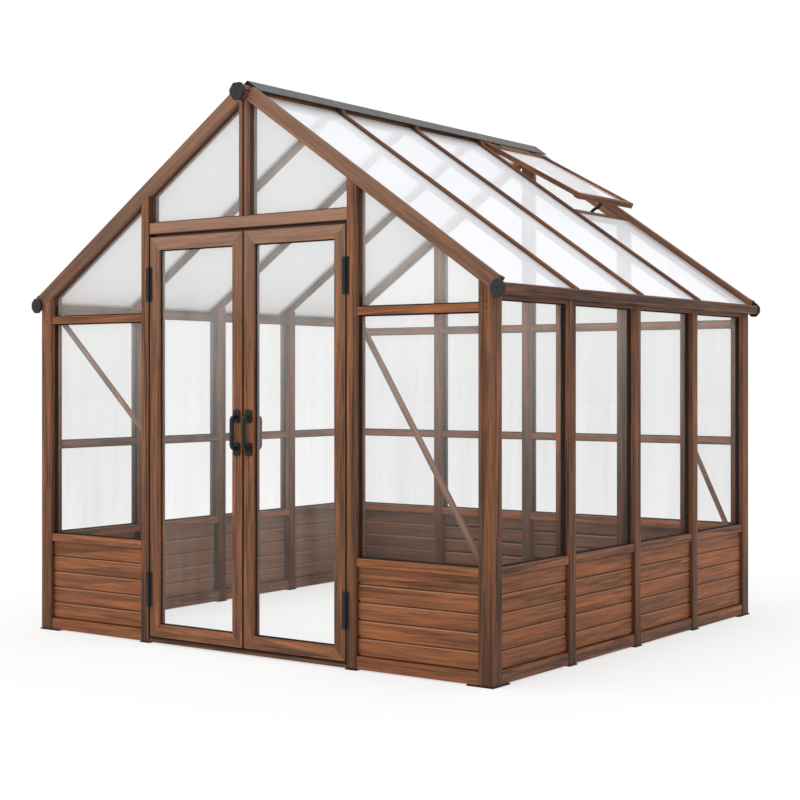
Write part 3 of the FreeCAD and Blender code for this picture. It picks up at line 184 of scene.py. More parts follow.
# Dark grain, also the colour of the painted shade on the sides of the glazing bars
DARK_GRAIN_AND_SHADE = linear(56, 37, 26)
DEEP_BROWN = linear(86, 58, 42)
MID_BROWN = linear(118, 77, 53)
WARM_BROWN = linear(148, 93, 58)
PALE_GRAIN = linear(168, 108, 69)
PALE_UPPER_TONE = linear(176, 146, 127)
JOINT_SHADE = linear(38, 23, 15)
JOINT_LIGHT = linear(190, 140, 104)
GRAIN_SHIFT = (7.3, 3.1, 5.7)
TIMBER_GLOSS = 0.22
BOARD_TINT = (1.15, 1.05, 0.93, 1.0)
RAIL_TINT = (1.22, 1.08, 0.92, 1.0)
EAVE_TINT = (0.92, 0.85, 0.76, 1.0)
# Inner faces of the boards: where they lie, and painted shade on the front and back boards, painted veil of
# light on the side boards
BOARD_REAR = 0.0325
INNER_PAINT_FADE = 0.002
CROSS_INNER_SHADE = linear(82, 67, 57)
LONG_INNER_VEIL = linear(140, 124, 112)

# Layers of the grain: how fine each is along and across, and its share of the tone
BAND_SCALE = (0.8, 24.0, 24.0)
STREAK_SCALE = (3.4, 84.0, 84.0)
FIBRE_SCALE = (12.0, 460.0, 460.0)
VEIN_SCALE = (1.5, 34.0, 34.0)
STREAK_SHARE = 0.46
BAND_SHARE = 0.40
FIBRE_SHARE = 0.14
MIDDLE_TONE = 0.5
VEIN_HALF = 0.03
VEIN_SHADE = 0.34
PIECE_SHADES = (0.86, 1.10)
GRAIN_BUMP = (0.35, 0.0010)

# Painted highlight and painted shadow at the joints of the lower boards: from, to, and the strength at
# both, by share of a board's height
EDGE_LIGHT = (0.895, 0.925, 0.0, 0.62)
LOWER_SHADOW = (0.0, 0.085, 0.82, 0.0)
UPPER_SHADOW = (0.980, 0.995, 0.0, 0.82)
END_SHADOW_HEIGHT = (0.14, 0.17, 1.0, 0.0)
# The same by the tone of the bands, and by the distance from a board's end
LIGHT_BREAKS = (0.35, 0.6, 0.45, 1.0)
END_SHADOW_LENGTH = (0.008, 0.013, 1.0, 0.0)
END_SHADOW_STRENGTH = 0.9


def grain_space(graph, place, along, fold):
    """Coordinates with the grain on the first axis, shifted for each piece."""
    first = Vector(along).normalized()
    second = first.orthogonal().normalized()
    third = first.cross(second)
    base = graph.vector("ABSOLUTE", place) if fold else place
    merge = graph.node("ShaderNodeCombineXYZ")
    for socket, axis in zip(merge.inputs, (first, second, third)):
        graph.feed(socket, graph.vector("DOT_PRODUCT", base, tuple(axis)))
    shift = graph.node("ShaderNodeVectorMath", operation="SCALE")
    shift.inputs[0].default_value = GRAIN_SHIFT
    graph.feed(shift.inputs["Scale"], graph.island())
    return graph.vector("ADD", merge.outputs[0], shift.outputs[0])


def board_joints(graph, place, bands, colour, board_ends):
    """Colour with the painted highlight on the lit edge, and the painted shadow in the joints and at the
    ends, of the lower boards.
    """
    step = graph.math("DIVIDE", graph.math("SUBTRACT", graph.height(place), BOARD_BASE), BOARD_PITCH)
    share = graph.math("FRACT", step)
    lit = graph.span(share, *EDGE_LIGHT, smooth=True)
    lit = graph.math("MULTIPLY", lit, graph.span(bands, *LIGHT_BREAKS))
    colour = graph.mix(lit, colour, JOINT_LIGHT)
    under = graph.span(share, *LOWER_SHADOW, smooth=True)
    over = graph.span(share, *UPPER_SHADOW, smooth=True)
    near_end = graph.span(board_ends(graph, place), *END_SHADOW_LENGTH)
    end_shadow = graph.math("MULTIPLY", graph.span(share, *END_SHADOW_HEIGHT), near_end)
    end_shadow = graph.math("MULTIPLY", end_shadow, END_SHADOW_STRENGTH)
    shadow = graph.math("MAXIMUM", graph.math("MAXIMUM", under, over), end_shadow)
    return graph.mix(shadow, colour, JOINT_SHADE)


def timber(name, along, fold=False, board_ends=None, warm=0.0, contrast=1.0, paler_above=None, darkening_and_painted_shadow=None,
           painted_side_shade=None, tint=None, inner=None, painted_gap_shadow=None):
    """Stained softwood with long streaks, dark veins and fine fibres along the grain.

    paler_above gives a paler tone towards the top. darkening_and_painted_shadow darkens by height: darker
    towards the bottom on the posts, and painted shadow of the gaps at the header and the threshold.
    painted_side_shade is painted shade on the sides of the glazing bars, and painted_gap_shadow is painted
    shadow in the gaps beside and between the doors. Each of these four gives from, to, and the strength at
    both. Inner gives the axis and the distance of the boards' inner faces, and the strength and colour of
    the painted shade and veil of light on them.
    """
    graph = Graph(name)
    place = graph.place()
    space = grain_space(graph, place, along, fold)
    bands = graph.noise(space, BAND_SCALE, detail=2.0)
    streaks = graph.noise(space, STREAK_SCALE, detail=4.0, roughness=0.6, distortion=0.3)
    fibres = graph.noise(space, FIBRE_SCALE, detail=3.0)
    veins = graph.noise(space, VEIN_SCALE, detail=3.0, distortion=0.7)

    tone = graph.math("MULTIPLY", streaks, STREAK_SHARE)
    tone = graph.math("ADD", tone, graph.math("MULTIPLY", bands, BAND_SHARE))
    tone = graph.math("ADD", tone, graph.math("MULTIPLY", fibres, FIBRE_SHARE))
    tone = graph.math("MULTIPLY", graph.math("SUBTRACT", tone, MIDDLE_TONE), contrast)
    tone = graph.math("ADD", tone, MIDDLE_TONE + warm)
    colour = graph.ramp(tone, [(0.34, DARK_GRAIN_AND_SHADE), (0.43, DEEP_BROWN), (0.50, MID_BROWN),
                               (0.57, WARM_BROWN), (0.68, PALE_GRAIN)])
    ridge = graph.math("ABSOLUTE", graph.math("SUBTRACT", veins, MIDDLE_TONE))
    vein = graph.span(ridge, 0.0, VEIN_HALF, VEIN_SHADE, 0.0, smooth=True)
    colour = graph.mix(vein, colour, DARK_GRAIN_AND_SHADE)
    shade = graph.span(graph.island(), 0.0, 1.0, *PIECE_SHADES)
    colour = graph.mix(1.0, colour, shade, blend="MULTIPLY")
    if tint:
        colour = graph.mix(1.0, colour, tint, blend="MULTIPLY")
    level = graph.height(place)
    # Paler towards the top, by height
    if paler_above:
        colour = graph.mix(graph.span(level, *paler_above), colour, PALE_UPPER_TONE)
    # Painted shade and veil of light on the boards' inner faces, seen through the panes
    if inner:
        letter, reach, share, painted_tone = inner
        depth = graph.math("ABSOLUTE", graph.axis(place, letter))
        colour = graph.mix(graph.span(depth, reach - INNER_PAINT_FADE, reach, share, 0.0), colour, painted_tone)
    # Painted shadow in the gaps beside and between the doors, in the joint shade colour
    if painted_gap_shadow:
        across = graph.math("ABSOLUTE", graph.axis(place, "X"))
        colour = graph.mix(graph.span(across, *painted_gap_shadow), colour, JOINT_SHADE)
    # Painted shade on the sides of the glazing bars, leaving a lighter crown
    if painted_side_shade:
        colour = graph.mix(graph.span(bar_reach(graph, place), *painted_side_shade), colour, DARK_GRAIN_AND_SHADE)
    # Darker by height: towards the bottom on the posts, and painted shadow of the gaps at the header and
    # threshold
    if darkening_and_painted_shadow:
        colour = graph.mix(1.0, colour, graph.span(level, *darkening_and_painted_shadow), blend="MULTIPLY")
    if board_ends:
        colour = board_joints(graph, place, bands, colour, board_ends)

    relief = graph.math("ADD", graph.math("MULTIPLY", streaks, 0.6), graph.math("MULTIPLY", fibres, 0.5))
    relief = graph.math("SUBTRACT", relief, graph.math("MULTIPLY", vein, 0.5))
    graph.bump(relief, *GRAIN_BUMP)
    roughness = graph.span(streaks, 0.3, 0.7, 0.62, 0.48)
    return graph.set(Base_Color=colour, Roughness=roughness, Specular_IOR_Level=TIMBER_GLOSS)


def front_ends(graph, place):
    """Distance across the front from the nearer end of a board."""
    across = graph.math("ABSOLUTE", graph.axis(place, "X"))
    return graph.math("MINIMUM", graph.math("SUBTRACT", across, FRONT_BOARD_START),
                      graph.math("SUBTRACT", FRONT_BOARD_END, across))


def bar_reach(graph, place):
    """Distance along the side from the middle of the nearest post or bar."""
    turn = graph.math("FRACT", graph.math("DIVIDE", graph.axis(place, "Y"), SIDE_BAY))
    reach = graph.math("MINIMUM", turn, graph.math("SUBTRACT", 1.0, turn))
    return graph.math("MULTIPLY", reach, SIDE_BAY)


def side_ends(graph, place):
    """Distance along the side from the nearer end of a board."""
    return graph.math("SUBTRACT", bar_reach(graph, place), SIDE_POST_HALF)


SLOPE = (math.cos(ROOF_PITCH), 0.0, -math.sin(ROOF_PITCH))
VENT_SLOPE = (math.cos(VENT_TILT), 0.0, -math.sin(VENT_TILT))
BRACE_FALL = (0.53, 0.0, -0.85)
HEADER_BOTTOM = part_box("door_header_timber")[0].z
THRESHOLD_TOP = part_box("door_threshold_timber")[1].z
# Posts darker towards the bottom, by height
POST_DARKER_BELOW = (0.05, 1.10, 0.54, 1.0)

TIMBERS = {
    "upright_timber": (dict(along=(0, 0, 1), darkening_and_painted_shadow=POST_DARKER_BELOW), [
        "corner_posts", "right_wall_posts", "left_wall_posts", "back_wall_posts"]),
    "king_timber": (dict(along=(0, 0, 1), paler_above=(1.90, 2.40, 0.10, 0.24)), ["front_king_post"]),
    # Painted shadow of the gap between each door post and its door
    "door_post_timber": (dict(along=(0, 0, 1), darkening_and_painted_shadow=POST_DARKER_BELOW, painted_gap_shadow=(0.588, 0.591, 0.7, 0.0)),
                         ["door_posts"]),
    # Painted shadow of the gap between the two doors, along the stiles where they meet; paler towards the
    # top
    "door_stile_timber": (dict(along=(0, 0, 1), paler_above=(1.30, 1.90, 0.0, 0.24),
                               painted_gap_shadow=(0.003, 0.006, 0.85, 0.0)),
                          ["left_door_stiles", "right_door_stiles"]),
    "cross_timber": (dict(along=(1, 0, 0), warm=0.022, contrast=0.85, paler_above=(1.60, 1.90, 0.0, 0.36)), [
        "door_stop_strip", "left_door_rails", "right_door_rails"]),
    # Painted shadow of the gap above the doors along the header's lower edge; paler towards the top
    "header_timber": (dict(along=(1, 0, 0), warm=0.022, contrast=0.85, paler_above=(1.75, 2.0, 0.0, 0.48),
                           darkening_and_painted_shadow=(HEADER_BOTTOM + 0.003, HEADER_BOTTOM + 0.006, 0.25, 1.0)),
                      ["door_header_timber"]),
    "wall_rail_timber": (dict(along=(1, 0, 0), warm=0.022, contrast=0.85, tint=RAIL_TINT), [
        "front_wall_rails", "back_wall_rails"]),
    # Painted shadow of the gap under the doors along the threshold's top
    "threshold_timber": (dict(along=(1, 0, 0), warm=-0.04,
                              darkening_and_painted_shadow=(THRESHOLD_TOP - 0.009, THRESHOLD_TOP - 0.006, 1.0, 0.2)),
                         ["door_threshold_timber"]),
    "long_timber": (dict(along=(0, 1, 0)), [
        "right_wall_rails", "left_wall_rails", "ridge_beam", "vent_head_rail", "vent_sill_rail",
        "vent_rails"]),
    "eave_timber": (dict(along=(0, 1, 0), warm=-0.062, tint=EAVE_TINT), ["eave_beams"]),
    # Front and back boards: painted shade on the inner faces
    "cross_boards": (dict(along=(1, 0, 0), board_ends=front_ends, warm=0.022, contrast=0.7, tint=BOARD_TINT,
                          inner=("Y", HALF_DEPTH - BOARD_REAR, 0.6, CROSS_INNER_SHADE)),
                     ["front_cladding", "back_cladding"]),
    # Side boards: painted veil of light on the inner faces
    "long_boards": (dict(along=(0, 1, 0), board_ends=side_ends, warm=0.022, contrast=0.7, tint=BOARD_TINT,
                         inner=("X", HALF_WIDTH - BOARD_REAR, 0.5, LONG_INNER_VEIL)),
                    ["right_cladding", "left_cladding"]),
    "slope_timber": (dict(along=SLOPE, fold=True, contrast=0.75, paler_above=(1.60, 2.30, 0.08, 0.22)),
                     ["gable_rafters"]),
    # Bars with painted shade on their sides
    "bar_timber": (dict(along=SLOPE, fold=True, contrast=0.8, painted_side_shade=(0.007, 0.014, 0.0, 0.60)),
                   ["right_glazing_bars", "left_glazing_bars"]),
    "vent_timber": (dict(along=VENT_SLOPE, warm=-0.02), ["vent_stiles"]),
    "brace_timber": (dict(along=BRACE_FALL, paler_above=(0.4, 0.5, 0.0, 0.16)), ["wall_braces"]),
}


# Glazing, metal, plastic and rubber

# Painted reflection on the panes: size of its upright streaks, heights over which it thickens, heights over
# which it turns pale, and the streaks' added share
STREAK_REFLECTION_SCALE = (9.0, 9.0, 0.7)
REFLECTION_LEVELS = (0.45, 1.75)
VEIL_LEVELS = (0.6, 1.7)
STREAK_REFLECTION_SHARE = (0.35, 0.65, -0.015, 0.020)
GLASS_INDEX = 1.45


def glass(name, low, high, veil):
    """Clear pane with a painted reflection: a partly opaque veil in upright streaks, thicker higher up, of
    the veil's colour below and pale above.
    """
    graph = Graph(name)
    place = graph.place()
    reflection_streaks = graph.noise(place, STREAK_REFLECTION_SCALE, detail=3.0)
    level = graph.height(place)
    # Painted reflection, thicker higher up and in the streaks
    painted_reflection = graph.span(level, *REFLECTION_LEVELS, low, high)
    painted_reflection = graph.math("ADD", painted_reflection, graph.span(reflection_streaks, *STREAK_REFLECTION_SHARE))
    pale = graph.mix(reflection_streaks, linear(232, 237, 234), linear(243, 247, 244))
    colour = graph.mix(graph.span(level, *VEIL_LEVELS, 0.0, 1.0), veil, pale)
    graph.material.surface_render_method = "BLENDED"
    roughness = graph.span(reflection_streaks, 0.3, 0.7, 0.03, 0.07)
    return graph.set(Base_Color=colour, Roughness=roughness, Alpha=painted_reflection, IOR=GLASS_INDEX)


# Painted glow: emission that stands in for the daylight which the sheet passes on in all directions
SHEET_PAINTED_GLOW = 0.15
SHEET_ALPHA = (0.48, 0.58)
SHEET_ROUGHNESS = (0.30, 0.40)


def roof_sheet():
    """Smooth hazy roof sheet with soft clouds and a painted glow."""
    graph = Graph("hazy_roof_sheet")
    place = graph.place()
    haze = graph.noise(place, (1.4, 1.4, 1.4), detail=3.0)
    fine = graph.noise(place, (40.0, 40.0, 40.0), detail=2.0)
    colour = graph.mix(haze, linear(230, 232, 238), linear(239, 241, 246))
    graph.bump(fine, 0.02, 0.0002)
    graph.material.surface_render_method = "BLENDED"
    alpha = graph.span(haze, 0.3, 0.7, *SHEET_ALPHA)
    roughness = graph.span(haze, 0.3, 0.7, *SHEET_ROUGHNESS)
    return graph.set(Base_Color=colour, Roughness=roughness, Alpha=alpha, Emission_Color=WHITE,
                     Emission_Strength=SHEET_PAINTED_GLOW)


COATING_GLOSS = 0.3
UPPER_FADE = 0.02
UPPER_SHARE = 0.85


def coated(name, dark, pale, rough, grain, bump, upper=None):
    """Coated or moulded surface, speckled and unevenly glossy; upper is its colour above the wall top."""
    graph = Graph(name)
    place = graph.place()
    cloud = graph.noise(place, (14.0, 14.0, 14.0), detail=4.0)
    speck = graph.noise(place, (grain, grain, grain), detail=2.0)
    blend = graph.math("ADD", graph.math("MULTIPLY", cloud, 0.6), graph.math("MULTIPLY", speck, 0.4))
    graph.bump(speck, bump, 0.0004)
    colour = graph.mix(graph.span(blend, 0.35, 0.65, 0.0, 1.0), dark, pale)
    if upper:
        above = graph.span(graph.height(place), WALL_TOP, WALL_TOP + UPPER_FADE, 0.0, UPPER_SHARE)
        colour = graph.mix(above, colour, upper)
    return graph.set(Base_Color=colour, Roughness=graph.span(cloud, 0.3, 0.7, *rough),
                     Specular_IOR_Level=COATING_GLOSS)


# Heights between which the capping darkens towards its lower edge
CAPPING_EDGE = (2.532, 2.546)
CAPPING_METALLIC = 0.25


def capping_metal():
    """Coated grey sheet with rain streaks across the ridge and a darker lower edge."""
    graph = Graph("capping_sheet")
    place = graph.place()
    streak = graph.noise(place, (3.0, 46.0, 3.0), detail=4.0)
    cloud = graph.noise(place, (5.0, 5.0, 5.0), detail=3.0)
    blend = graph.math("ADD", graph.math("MULTIPLY", streak, 0.5), graph.math("MULTIPLY", cloud, 0.5))
    colour = graph.ramp(blend, [(0.36, linear(58, 59, 60)), (0.52, linear(78, 79, 80)),
                                (0.66, linear(98, 99, 101))])
    edge = graph.span(graph.height(place), *CAPPING_EDGE, 0.75, 0.0, smooth=True)
    colour = graph.mix(edge, colour, linear(32, 32, 32))
    graph.bump(streak, 0.1, 0.0005)
    roughness = graph.span(cloud, 0.3, 0.7, 0.42, 0.58)
    return graph.set(Base_Color=colour, Metallic=CAPPING_METALLIC, Roughness=roughness)


# Panes with a painted reflection: grey below on the walls, pale on the doors
wall_glass = glass("wall_glass", 0.055, 0.150, linear(128, 130, 128))
door_glass = glass("door_glass", 0.030, 0.120, linear(222, 226, 223))
hazy_sheet = roof_sheet()
black_metal = coated("black_coating", linear(15, 15, 15), linear(30, 30, 29), (0.38, 0.55), 900.0, 0.2)
black_plastic = coated("black_moulding", linear(30, 30, 28), linear(46, 46, 43), (0.5, 0.66), 700.0, 0.25)
rubber = coated("rubber_extrusion", linear(16, 15, 14), linear(34, 32, 30), (0.7, 0.85), 500.0, 0.2)
wall_rubber = coated("wall_seal_rubber", linear(16, 15, 14), linear(34, 32, 30), (0.7, 0.85), 500.0, 0.2,
                     upper=linear(84, 60, 46))
screw_steel = coated("browned_steel", linear(44, 38, 34), linear(78, 70, 64), (0.35, 0.5), 800.0, 0.15)
grey_sheet = capping_metal()
seam_metal = coated("worn_seam", linear(112, 109, 104), linear(150, 146, 138), (0.45, 0.6), 300.0, 0.15)

FINISHES = {
    "front_panes": wall_glass, "right_wall_panes": wall_glass, "left_wall_panes": wall_glass,
    "back_panes": wall_glass, "left_door_pane": door_glass, "right_door_pane": door_glass,
    "right_roof_panes": hazy_sheet, "left_roof_panes": hazy_sheet, "vent_pane": hazy_sheet,
    "foot_plates": black_metal, "post_hinge_leaves": black_metal, "vent_head_hinge_leaves": black_metal,
    "stay_peg": black_metal, "left_door_handles": black_metal, "right_door_handles": black_metal,
    "left_door_hinge_leaves": black_metal, "right_door_hinge_leaves": black_metal,
    "vent_hinge_leaves": black_metal, "stay_bracket": black_metal, "stay_arm": black_metal,
    "beam_end_caps": black_plastic, "ridge_capping": grey_sheet, "wall_seals": wall_rubber,
    "left_door_seal": rubber, "right_door_seal": rubber, "frame_screws": screw_steel,
}
for label, (options, members) in TIMBERS.items():
    made = timber(label, **options)
    FINISHES.update({member: made for member in members})

# Softened edges: narrower on thin parts, none on panes and seals
EDGE_WIDTHS = {"stay_bracket": 0.0006, "stay_peg": 0.0004, "frame_screws": 0.0006,
               "foot_plates": 0.001, "post_hinge_leaves": 0.0006,
               "left_door_hinge_leaves": 0.0006, "right_door_hinge_leaves": 0.0006,
               "vent_head_hinge_leaves": 0.0004, "vent_hinge_leaves": 0.0004}
TIMBER_EDGE = 0.0022
CLEAR_FINISHES = (wall_glass, door_glass, hazy_sheet)
SHARP_FINISHES = CLEAR_FINISHES + (rubber, wall_rubber)
WELD_REACH = 0.0001
EDGE_ANGLE = math.radians(35)
BENT_ANGLE = math.radians(30)


def soften(piece, width, angle=EDGE_ANGLE, harden=False):
    """Narrow bevel along the edges of a piece that are sharper than an angle."""
    edge = piece.modifiers.new("edge", "BEVEL")
    edge.width = width
    edge.segments = 2
    edge.limit_method = "ANGLE"
    edge.angle_limit = angle
    edge.harden_normals = harden


for label, material in FINISHES.items():
    piece = nodes[label]
    piece.data.materials.clear()
    piece.data.materials.append(material)
    weld = piece.modifiers.new("weld", "WELD")
    weld.merge_threshold = WELD_REACH
    if material in CLEAR_FINISHES:
        piece.visible_shadow = False
        piece.visible_diffuse = False
    if material not in SHARP_FINISHES:
        soften(piece, EDGE_WIDTHS.get(label, TIMBER_EDGE), harden=True)


# Small hardware built in mesh code

HEAD_SEGMENTS = 24
SOCKET_SHARE = 0.46
SIXTH_TURN = math.pi / 3
# Rings of a head's profile that are hexagons
SOCKET_RINGS = (4, 5)


def piece_from(name, form, body, slot, material):
    """Object from a finished bmesh that rides on a body."""
    bmesh.ops.recalc_face_normals(form, faces=form.faces)
    mesh = bpy.data.meshes.new(name)
    form.to_mesh(mesh)
    form.free()
    mesh.materials.append(material)
    piece = bpy.data.objects.new(name, mesh)
    scene.collection.objects.link(piece)
    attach(piece, body)
    return piece


def loft(form, rings):
    """Skin over rings of equal length, closed by a face at both ends."""
    made = [[form.verts.new(point) for point in ring] for ring in rings]
    count = len(made[0])
    for lower, upper in zip(made, made[1:]):
        for step in range(count):
            follow = (step + 1) % count
            form.faces.new((lower[step], lower[follow], upper[follow], upper[step]))
    form.faces.new(list(reversed(made[0])))
    form.faces.new(made[-1])


def rounded(corners, reach, steps=5):
    """Flat outline with each corner rounded off over the given reach."""
    outline = []
    for index, point in enumerate(corners):
        corner = Vector(point)
        before = Vector(corners[index - 1]) - corner
        after = Vector(corners[(index + 1) % len(corners)]) - corner
        start = corner + before.normalized() * min(reach, before.length * 0.5)
        end = corner + after.normalized() * min(reach, after.length * 0.5)
        for step in range(steps + 1):
            share = step / steps
            outline.append(start.lerp(corner, share).lerp(corner.lerp(end, share), share))
    return outline


def cushion(form, outline, levels, place):
    """Closed form from an outline that draws in by an inset at each level."""
    middle = sum(outline, Vector((0.0, 0.0))) / len(outline)
    rings = []
    for level, inset in levels:
        ring = []
        for point in outline:
            inward = middle - point
            ring.append(place(point + inward.normalized() * inset, level))
        rings.append(ring)
    loft(form, rings)


def socket_head(form, centre, outward, radius, rise):
    """Domed screw head with a hexagon socket, closed at its seat."""
    turn = Vector((0, 0, 1)).rotation_difference(Vector(outward)).to_matrix().to_4x4()
    seat = Matrix.Translation(Vector(centre)) @ turn
    flat = radius * SOCKET_SHARE
    profile = [(radius, 0.0), (radius, rise * 0.35), (radius * 0.88, rise * 0.78), (radius * 0.62, rise),
               (flat, rise), (flat * 0.94, rise * 0.3)]
    rings = []
    for index, (reach, height) in enumerate(profile):
        ring = []
        for step in range(HEAD_SEGMENTS):
            angle = 2 * math.pi * step / HEAD_SEGMENTS
            distance = reach
            if index in SOCKET_RINGS:
                corner = math.fmod(angle, SIXTH_TURN) - SIXTH_TURN / 2
                distance = reach * math.cos(SIXTH_TURN / 2) / math.cos(corner)
            ring.append(seat @ Vector((distance * math.cos(angle), distance * math.sin(angle), height)))
        rings.append(ring)
    loft(form, rings)


def heads(name, places, outward, body, radius, rise, slot="black_metal", material=black_metal):
    """Piece of equal screw heads at several places."""
    form = bmesh.new()
    for centre in places:
        socket_head(form, centre, outward, radius, rise)
    return piece_from(name, form, body, slot, material)


LEAF_CENTRE = 0.013
HINGE_SCREWS = (0.022, 0.080, 0.138)
HINGE_HEAD = (0.0036, 0.0016)
hinge_levels = [bottom + level for bottom in HINGE_BOTTOMS for level in HINGE_SCREWS]
fixed_places = [(side * (HINGE_AXIS_X + LEAF_CENTRE), HINGE_FACE_Y, z)
                for side in (-1, 1) for z in hinge_levels]
heads("post_hinge_screws", fixed_places, (0, -1, 0), "frame", *HINGE_HEAD)
for side, door in DOORS:
    moving = [(side * (HINGE_AXIS_X - LEAF_CENTRE), HINGE_FACE_Y, z) for z in hinge_levels]
    heads(f"{door}_hinge_screws", moving, (0, -1, 0), door, *HINGE_HEAD)

# Pull handles: rounded feet and a round bent grip
FOOT_WIDTH = 0.042
FOOT_HEIGHT = 0.060
FOOT_THICKNESS = 0.006
FOOT_CENTRE = 0.074
FOOT_ROUNDING = 0.014
FOOT_LEVELS = ((0.0, 0.0), (FOOT_THICKNESS - 0.0020, 0.0), (FOOT_THICKNESS - 0.0006, 0.0007),
               (FOOT_THICKNESS, 0.0022))
GRIP_HALF_WIDTH = 0.0105
GRIP_HALF_DEPTH = 0.0080
GRIP_REACH = 0.030
GRIP_END = 0.071
GRIP_BEND = 0.016
BEND_STEPS = 7
GRIP_SEGMENTS = 20
GRIP_SQUARENESS = 0.8
LEG_FLARE = ((0.0, 1.34), (0.002, 1.24), (0.005, 1.08), (0.009, 1.0))


def grip_path():
    """Places out from the foot and up the grip, with the way out of the section and its size."""
    path = [((out, GRIP_END), (0.0, 1.0), size) for out, size in LEG_FLARE]
    for step in range(BEND_STEPS + 1):
        angle = math.pi / 2 * step / BEND_STEPS
        out = GRIP_REACH - GRIP_BEND + GRIP_BEND * math.sin(angle)
        up = GRIP_END - GRIP_BEND + GRIP_BEND * math.cos(angle)
        path.append(((out, up), (math.sin(angle), math.cos(angle)), 1.0))
    mirrored = [((out, -up), (turn_out, -turn_up), size) for (out, up), (turn_out, turn_up), size in path]
    return path + mirrored[::-1]


def pull(form, x, seat, outward):
    """One pull: two feet on the stile's face and a grip between them."""
    half_width = FOOT_WIDTH / 2
    half_height = FOOT_HEIGHT / 2
    corners = [(-half_width, -half_height), (half_width, -half_height), (half_width, half_height),
               (-half_width, half_height)]
    outline = rounded(corners, FOOT_ROUNDING, steps=7)
    for end in (-1, 1):
        middle = HANDLE_LEVEL + end * FOOT_CENTRE
        cushion(form, outline, FOOT_LEVELS,
                lambda flat, level, z=middle: Vector((x + flat.x, seat + outward * level, z + flat.y)))
    face = seat + outward * FOOT_THICKNESS
    rings = []
    for (out, up), (turn_out, turn_up), size in grip_path():
        ring = []
        for step in range(GRIP_SEGMENTS):
            angle = 2 * math.pi * step / GRIP_SEGMENTS
            across = math.copysign(abs(math.cos(angle)) ** GRIP_SQUARENESS, math.cos(angle))
            deep = math.copysign(abs(math.sin(angle)) ** GRIP_SQUARENESS, math.sin(angle))
            depth = deep * GRIP_HALF_DEPTH * size
            ring.append(Vector((x + across * GRIP_HALF_WIDTH * size,
                                face + outward * (out + depth * turn_out),
                                HANDLE_LEVEL + up + depth * turn_up)))
        rings.append(ring)
    loft(form, rings)


for side, door in DOORS:
    form = bmesh.new()
    pull(form, side * HANDLE_X, -HALF_DEPTH, -1)
    pull(form, side * HANDLE_X, -HALF_DEPTH + DOOR_DEPTH, 1)
    pulls = piece_from(f"{door}_pulls", form, door, "black_metal", black_metal)
    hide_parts(f"{door}_handles")

FOOT_SCREW = 0.094
HANDLE_HEAD = (0.0048, 0.0018)
FOOT_FACES = ((-HALF_DEPTH - FOOT_THICKNESS, (0, -1, 0), "outer"),
              (-HALF_DEPTH + DOOR_DEPTH + FOOT_THICKNESS, (0, 1, 0), "inner"))
for side, door in DOORS:
    for face, outward, word in FOOT_FACES:
        seats = [(side * HANDLE_X, face, HANDLE_LEVEL + end * FOOT_SCREW) for end in (-1, 1)]
        heads(f"{door}_{word}_handle_screws", seats, outward, door, *HANDLE_HEAD)


# Ridge capping: folded lengths behind the front rafters, with lapped seams
CAPPING_SHEET = 0.0016
CAPPING_HEM = 0.010


def folded_strip(form, start, end, lift):
    """Sheet folded over the ridge, with a hem turned under along both lower edges."""
    thick = CAPPING_SHEET
    run = CAPPING_WING * math.cos(ROOF_PITCH) + thick * math.sin(ROOF_PITCH)
    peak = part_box("ridge_capping")[1].z
    slope_x = math.sin(ROOF_PITCH)
    slope_z = math.cos(ROOF_PITCH)
    fall = math.tan(ROOF_PITCH)
    low = peak - run * fall
    tuck = CAPPING_HEM * slope_z
    half = [(0.0, peak + lift), (run, low + lift), (run - thick * 2 * slope_x, low - thick * 2 * slope_z),
            (run - thick * 2 * slope_x - tuck, low - thick * 2 * slope_z + tuck * fall),
            (run - thick * slope_x - tuck, low - thick * slope_z + tuck * fall),
            (0.0, peak - thick / slope_z)]
    left = [(-x, z) for x, z in half[1:-1]]
    outline = half + left[::-1]
    near = [form.verts.new((x, start, z)) for x, z in outline]
    far = [form.verts.new((x, end, z)) for x, z in outline]
    count = len(outline)
    for index in range(count):
        follow = (index + 1) % count
        form.faces.new((near[index], far[index], far[follow], near[follow]))
    bmesh.ops.triangulate(form, faces=[form.faces.new(near), form.faces.new(list(reversed(far)))])


JOINT_GAP = 0.0015
CAPPING_START = -1.2255
CAPPING_END = 1.2935
SEAM_HALF = 0.007
SEAM_LIFT = 0.0012
capping_form = bmesh.new()
bounds = (CAPPING_START,) + CAPPING_JOINTS + (CAPPING_END,)
for start, end in zip(bounds, bounds[1:]):
    folded_strip(capping_form, start, end - JOINT_GAP, 0.0)
capping = piece_from("folded_capping", capping_form, "frame", "grey_sheet_metal", grey_sheet)
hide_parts("ridge_capping")
seam_form = bmesh.new()
for joint in CAPPING_JOINTS:
    folded_strip(seam_form, joint - SEAM_HALF, joint + SEAM_HALF, SEAM_LIFT)
piece_from("capping_seams", seam_form, "frame", "grey_sheet_metal", seam_metal)

# Braces on the inner faces of the walls, their ends cut upright to fit the posts
BRACE_HALF = 0.012
BRACE_DEPTH = 0.016
BRACE_FACE = 1.185
CORNER_INNER = 1.257
BRACES = ((-1, (-CORNER_INNER, 1.522), (-0.600, 0.900)),
          (-1, (0.600, 1.487), (CORNER_INNER, 0.438)),
          (1, (1.030, 0.915), (CORNER_INNER, 0.431)))


def fitted_brace(form, wall, start, end):
    """Flat bar between two places on the inner face of the front or back wall."""
    (x0, z0), (x1, z1) = start, end
    half = BRACE_HALF * math.hypot(x1 - x0, z1 - z0) / (x1 - x0)
    outer = wall * BRACE_FACE
    inner = wall * (BRACE_FACE - BRACE_DEPTH)
    rings = []
    for x, z in (start, end):
        rings.append([Vector((x, outer, z - half)), Vector((x, inner, z - half)),
                      Vector((x, inner, z + half)), Vector((x, outer, z + half))])
    loft(form, rings)


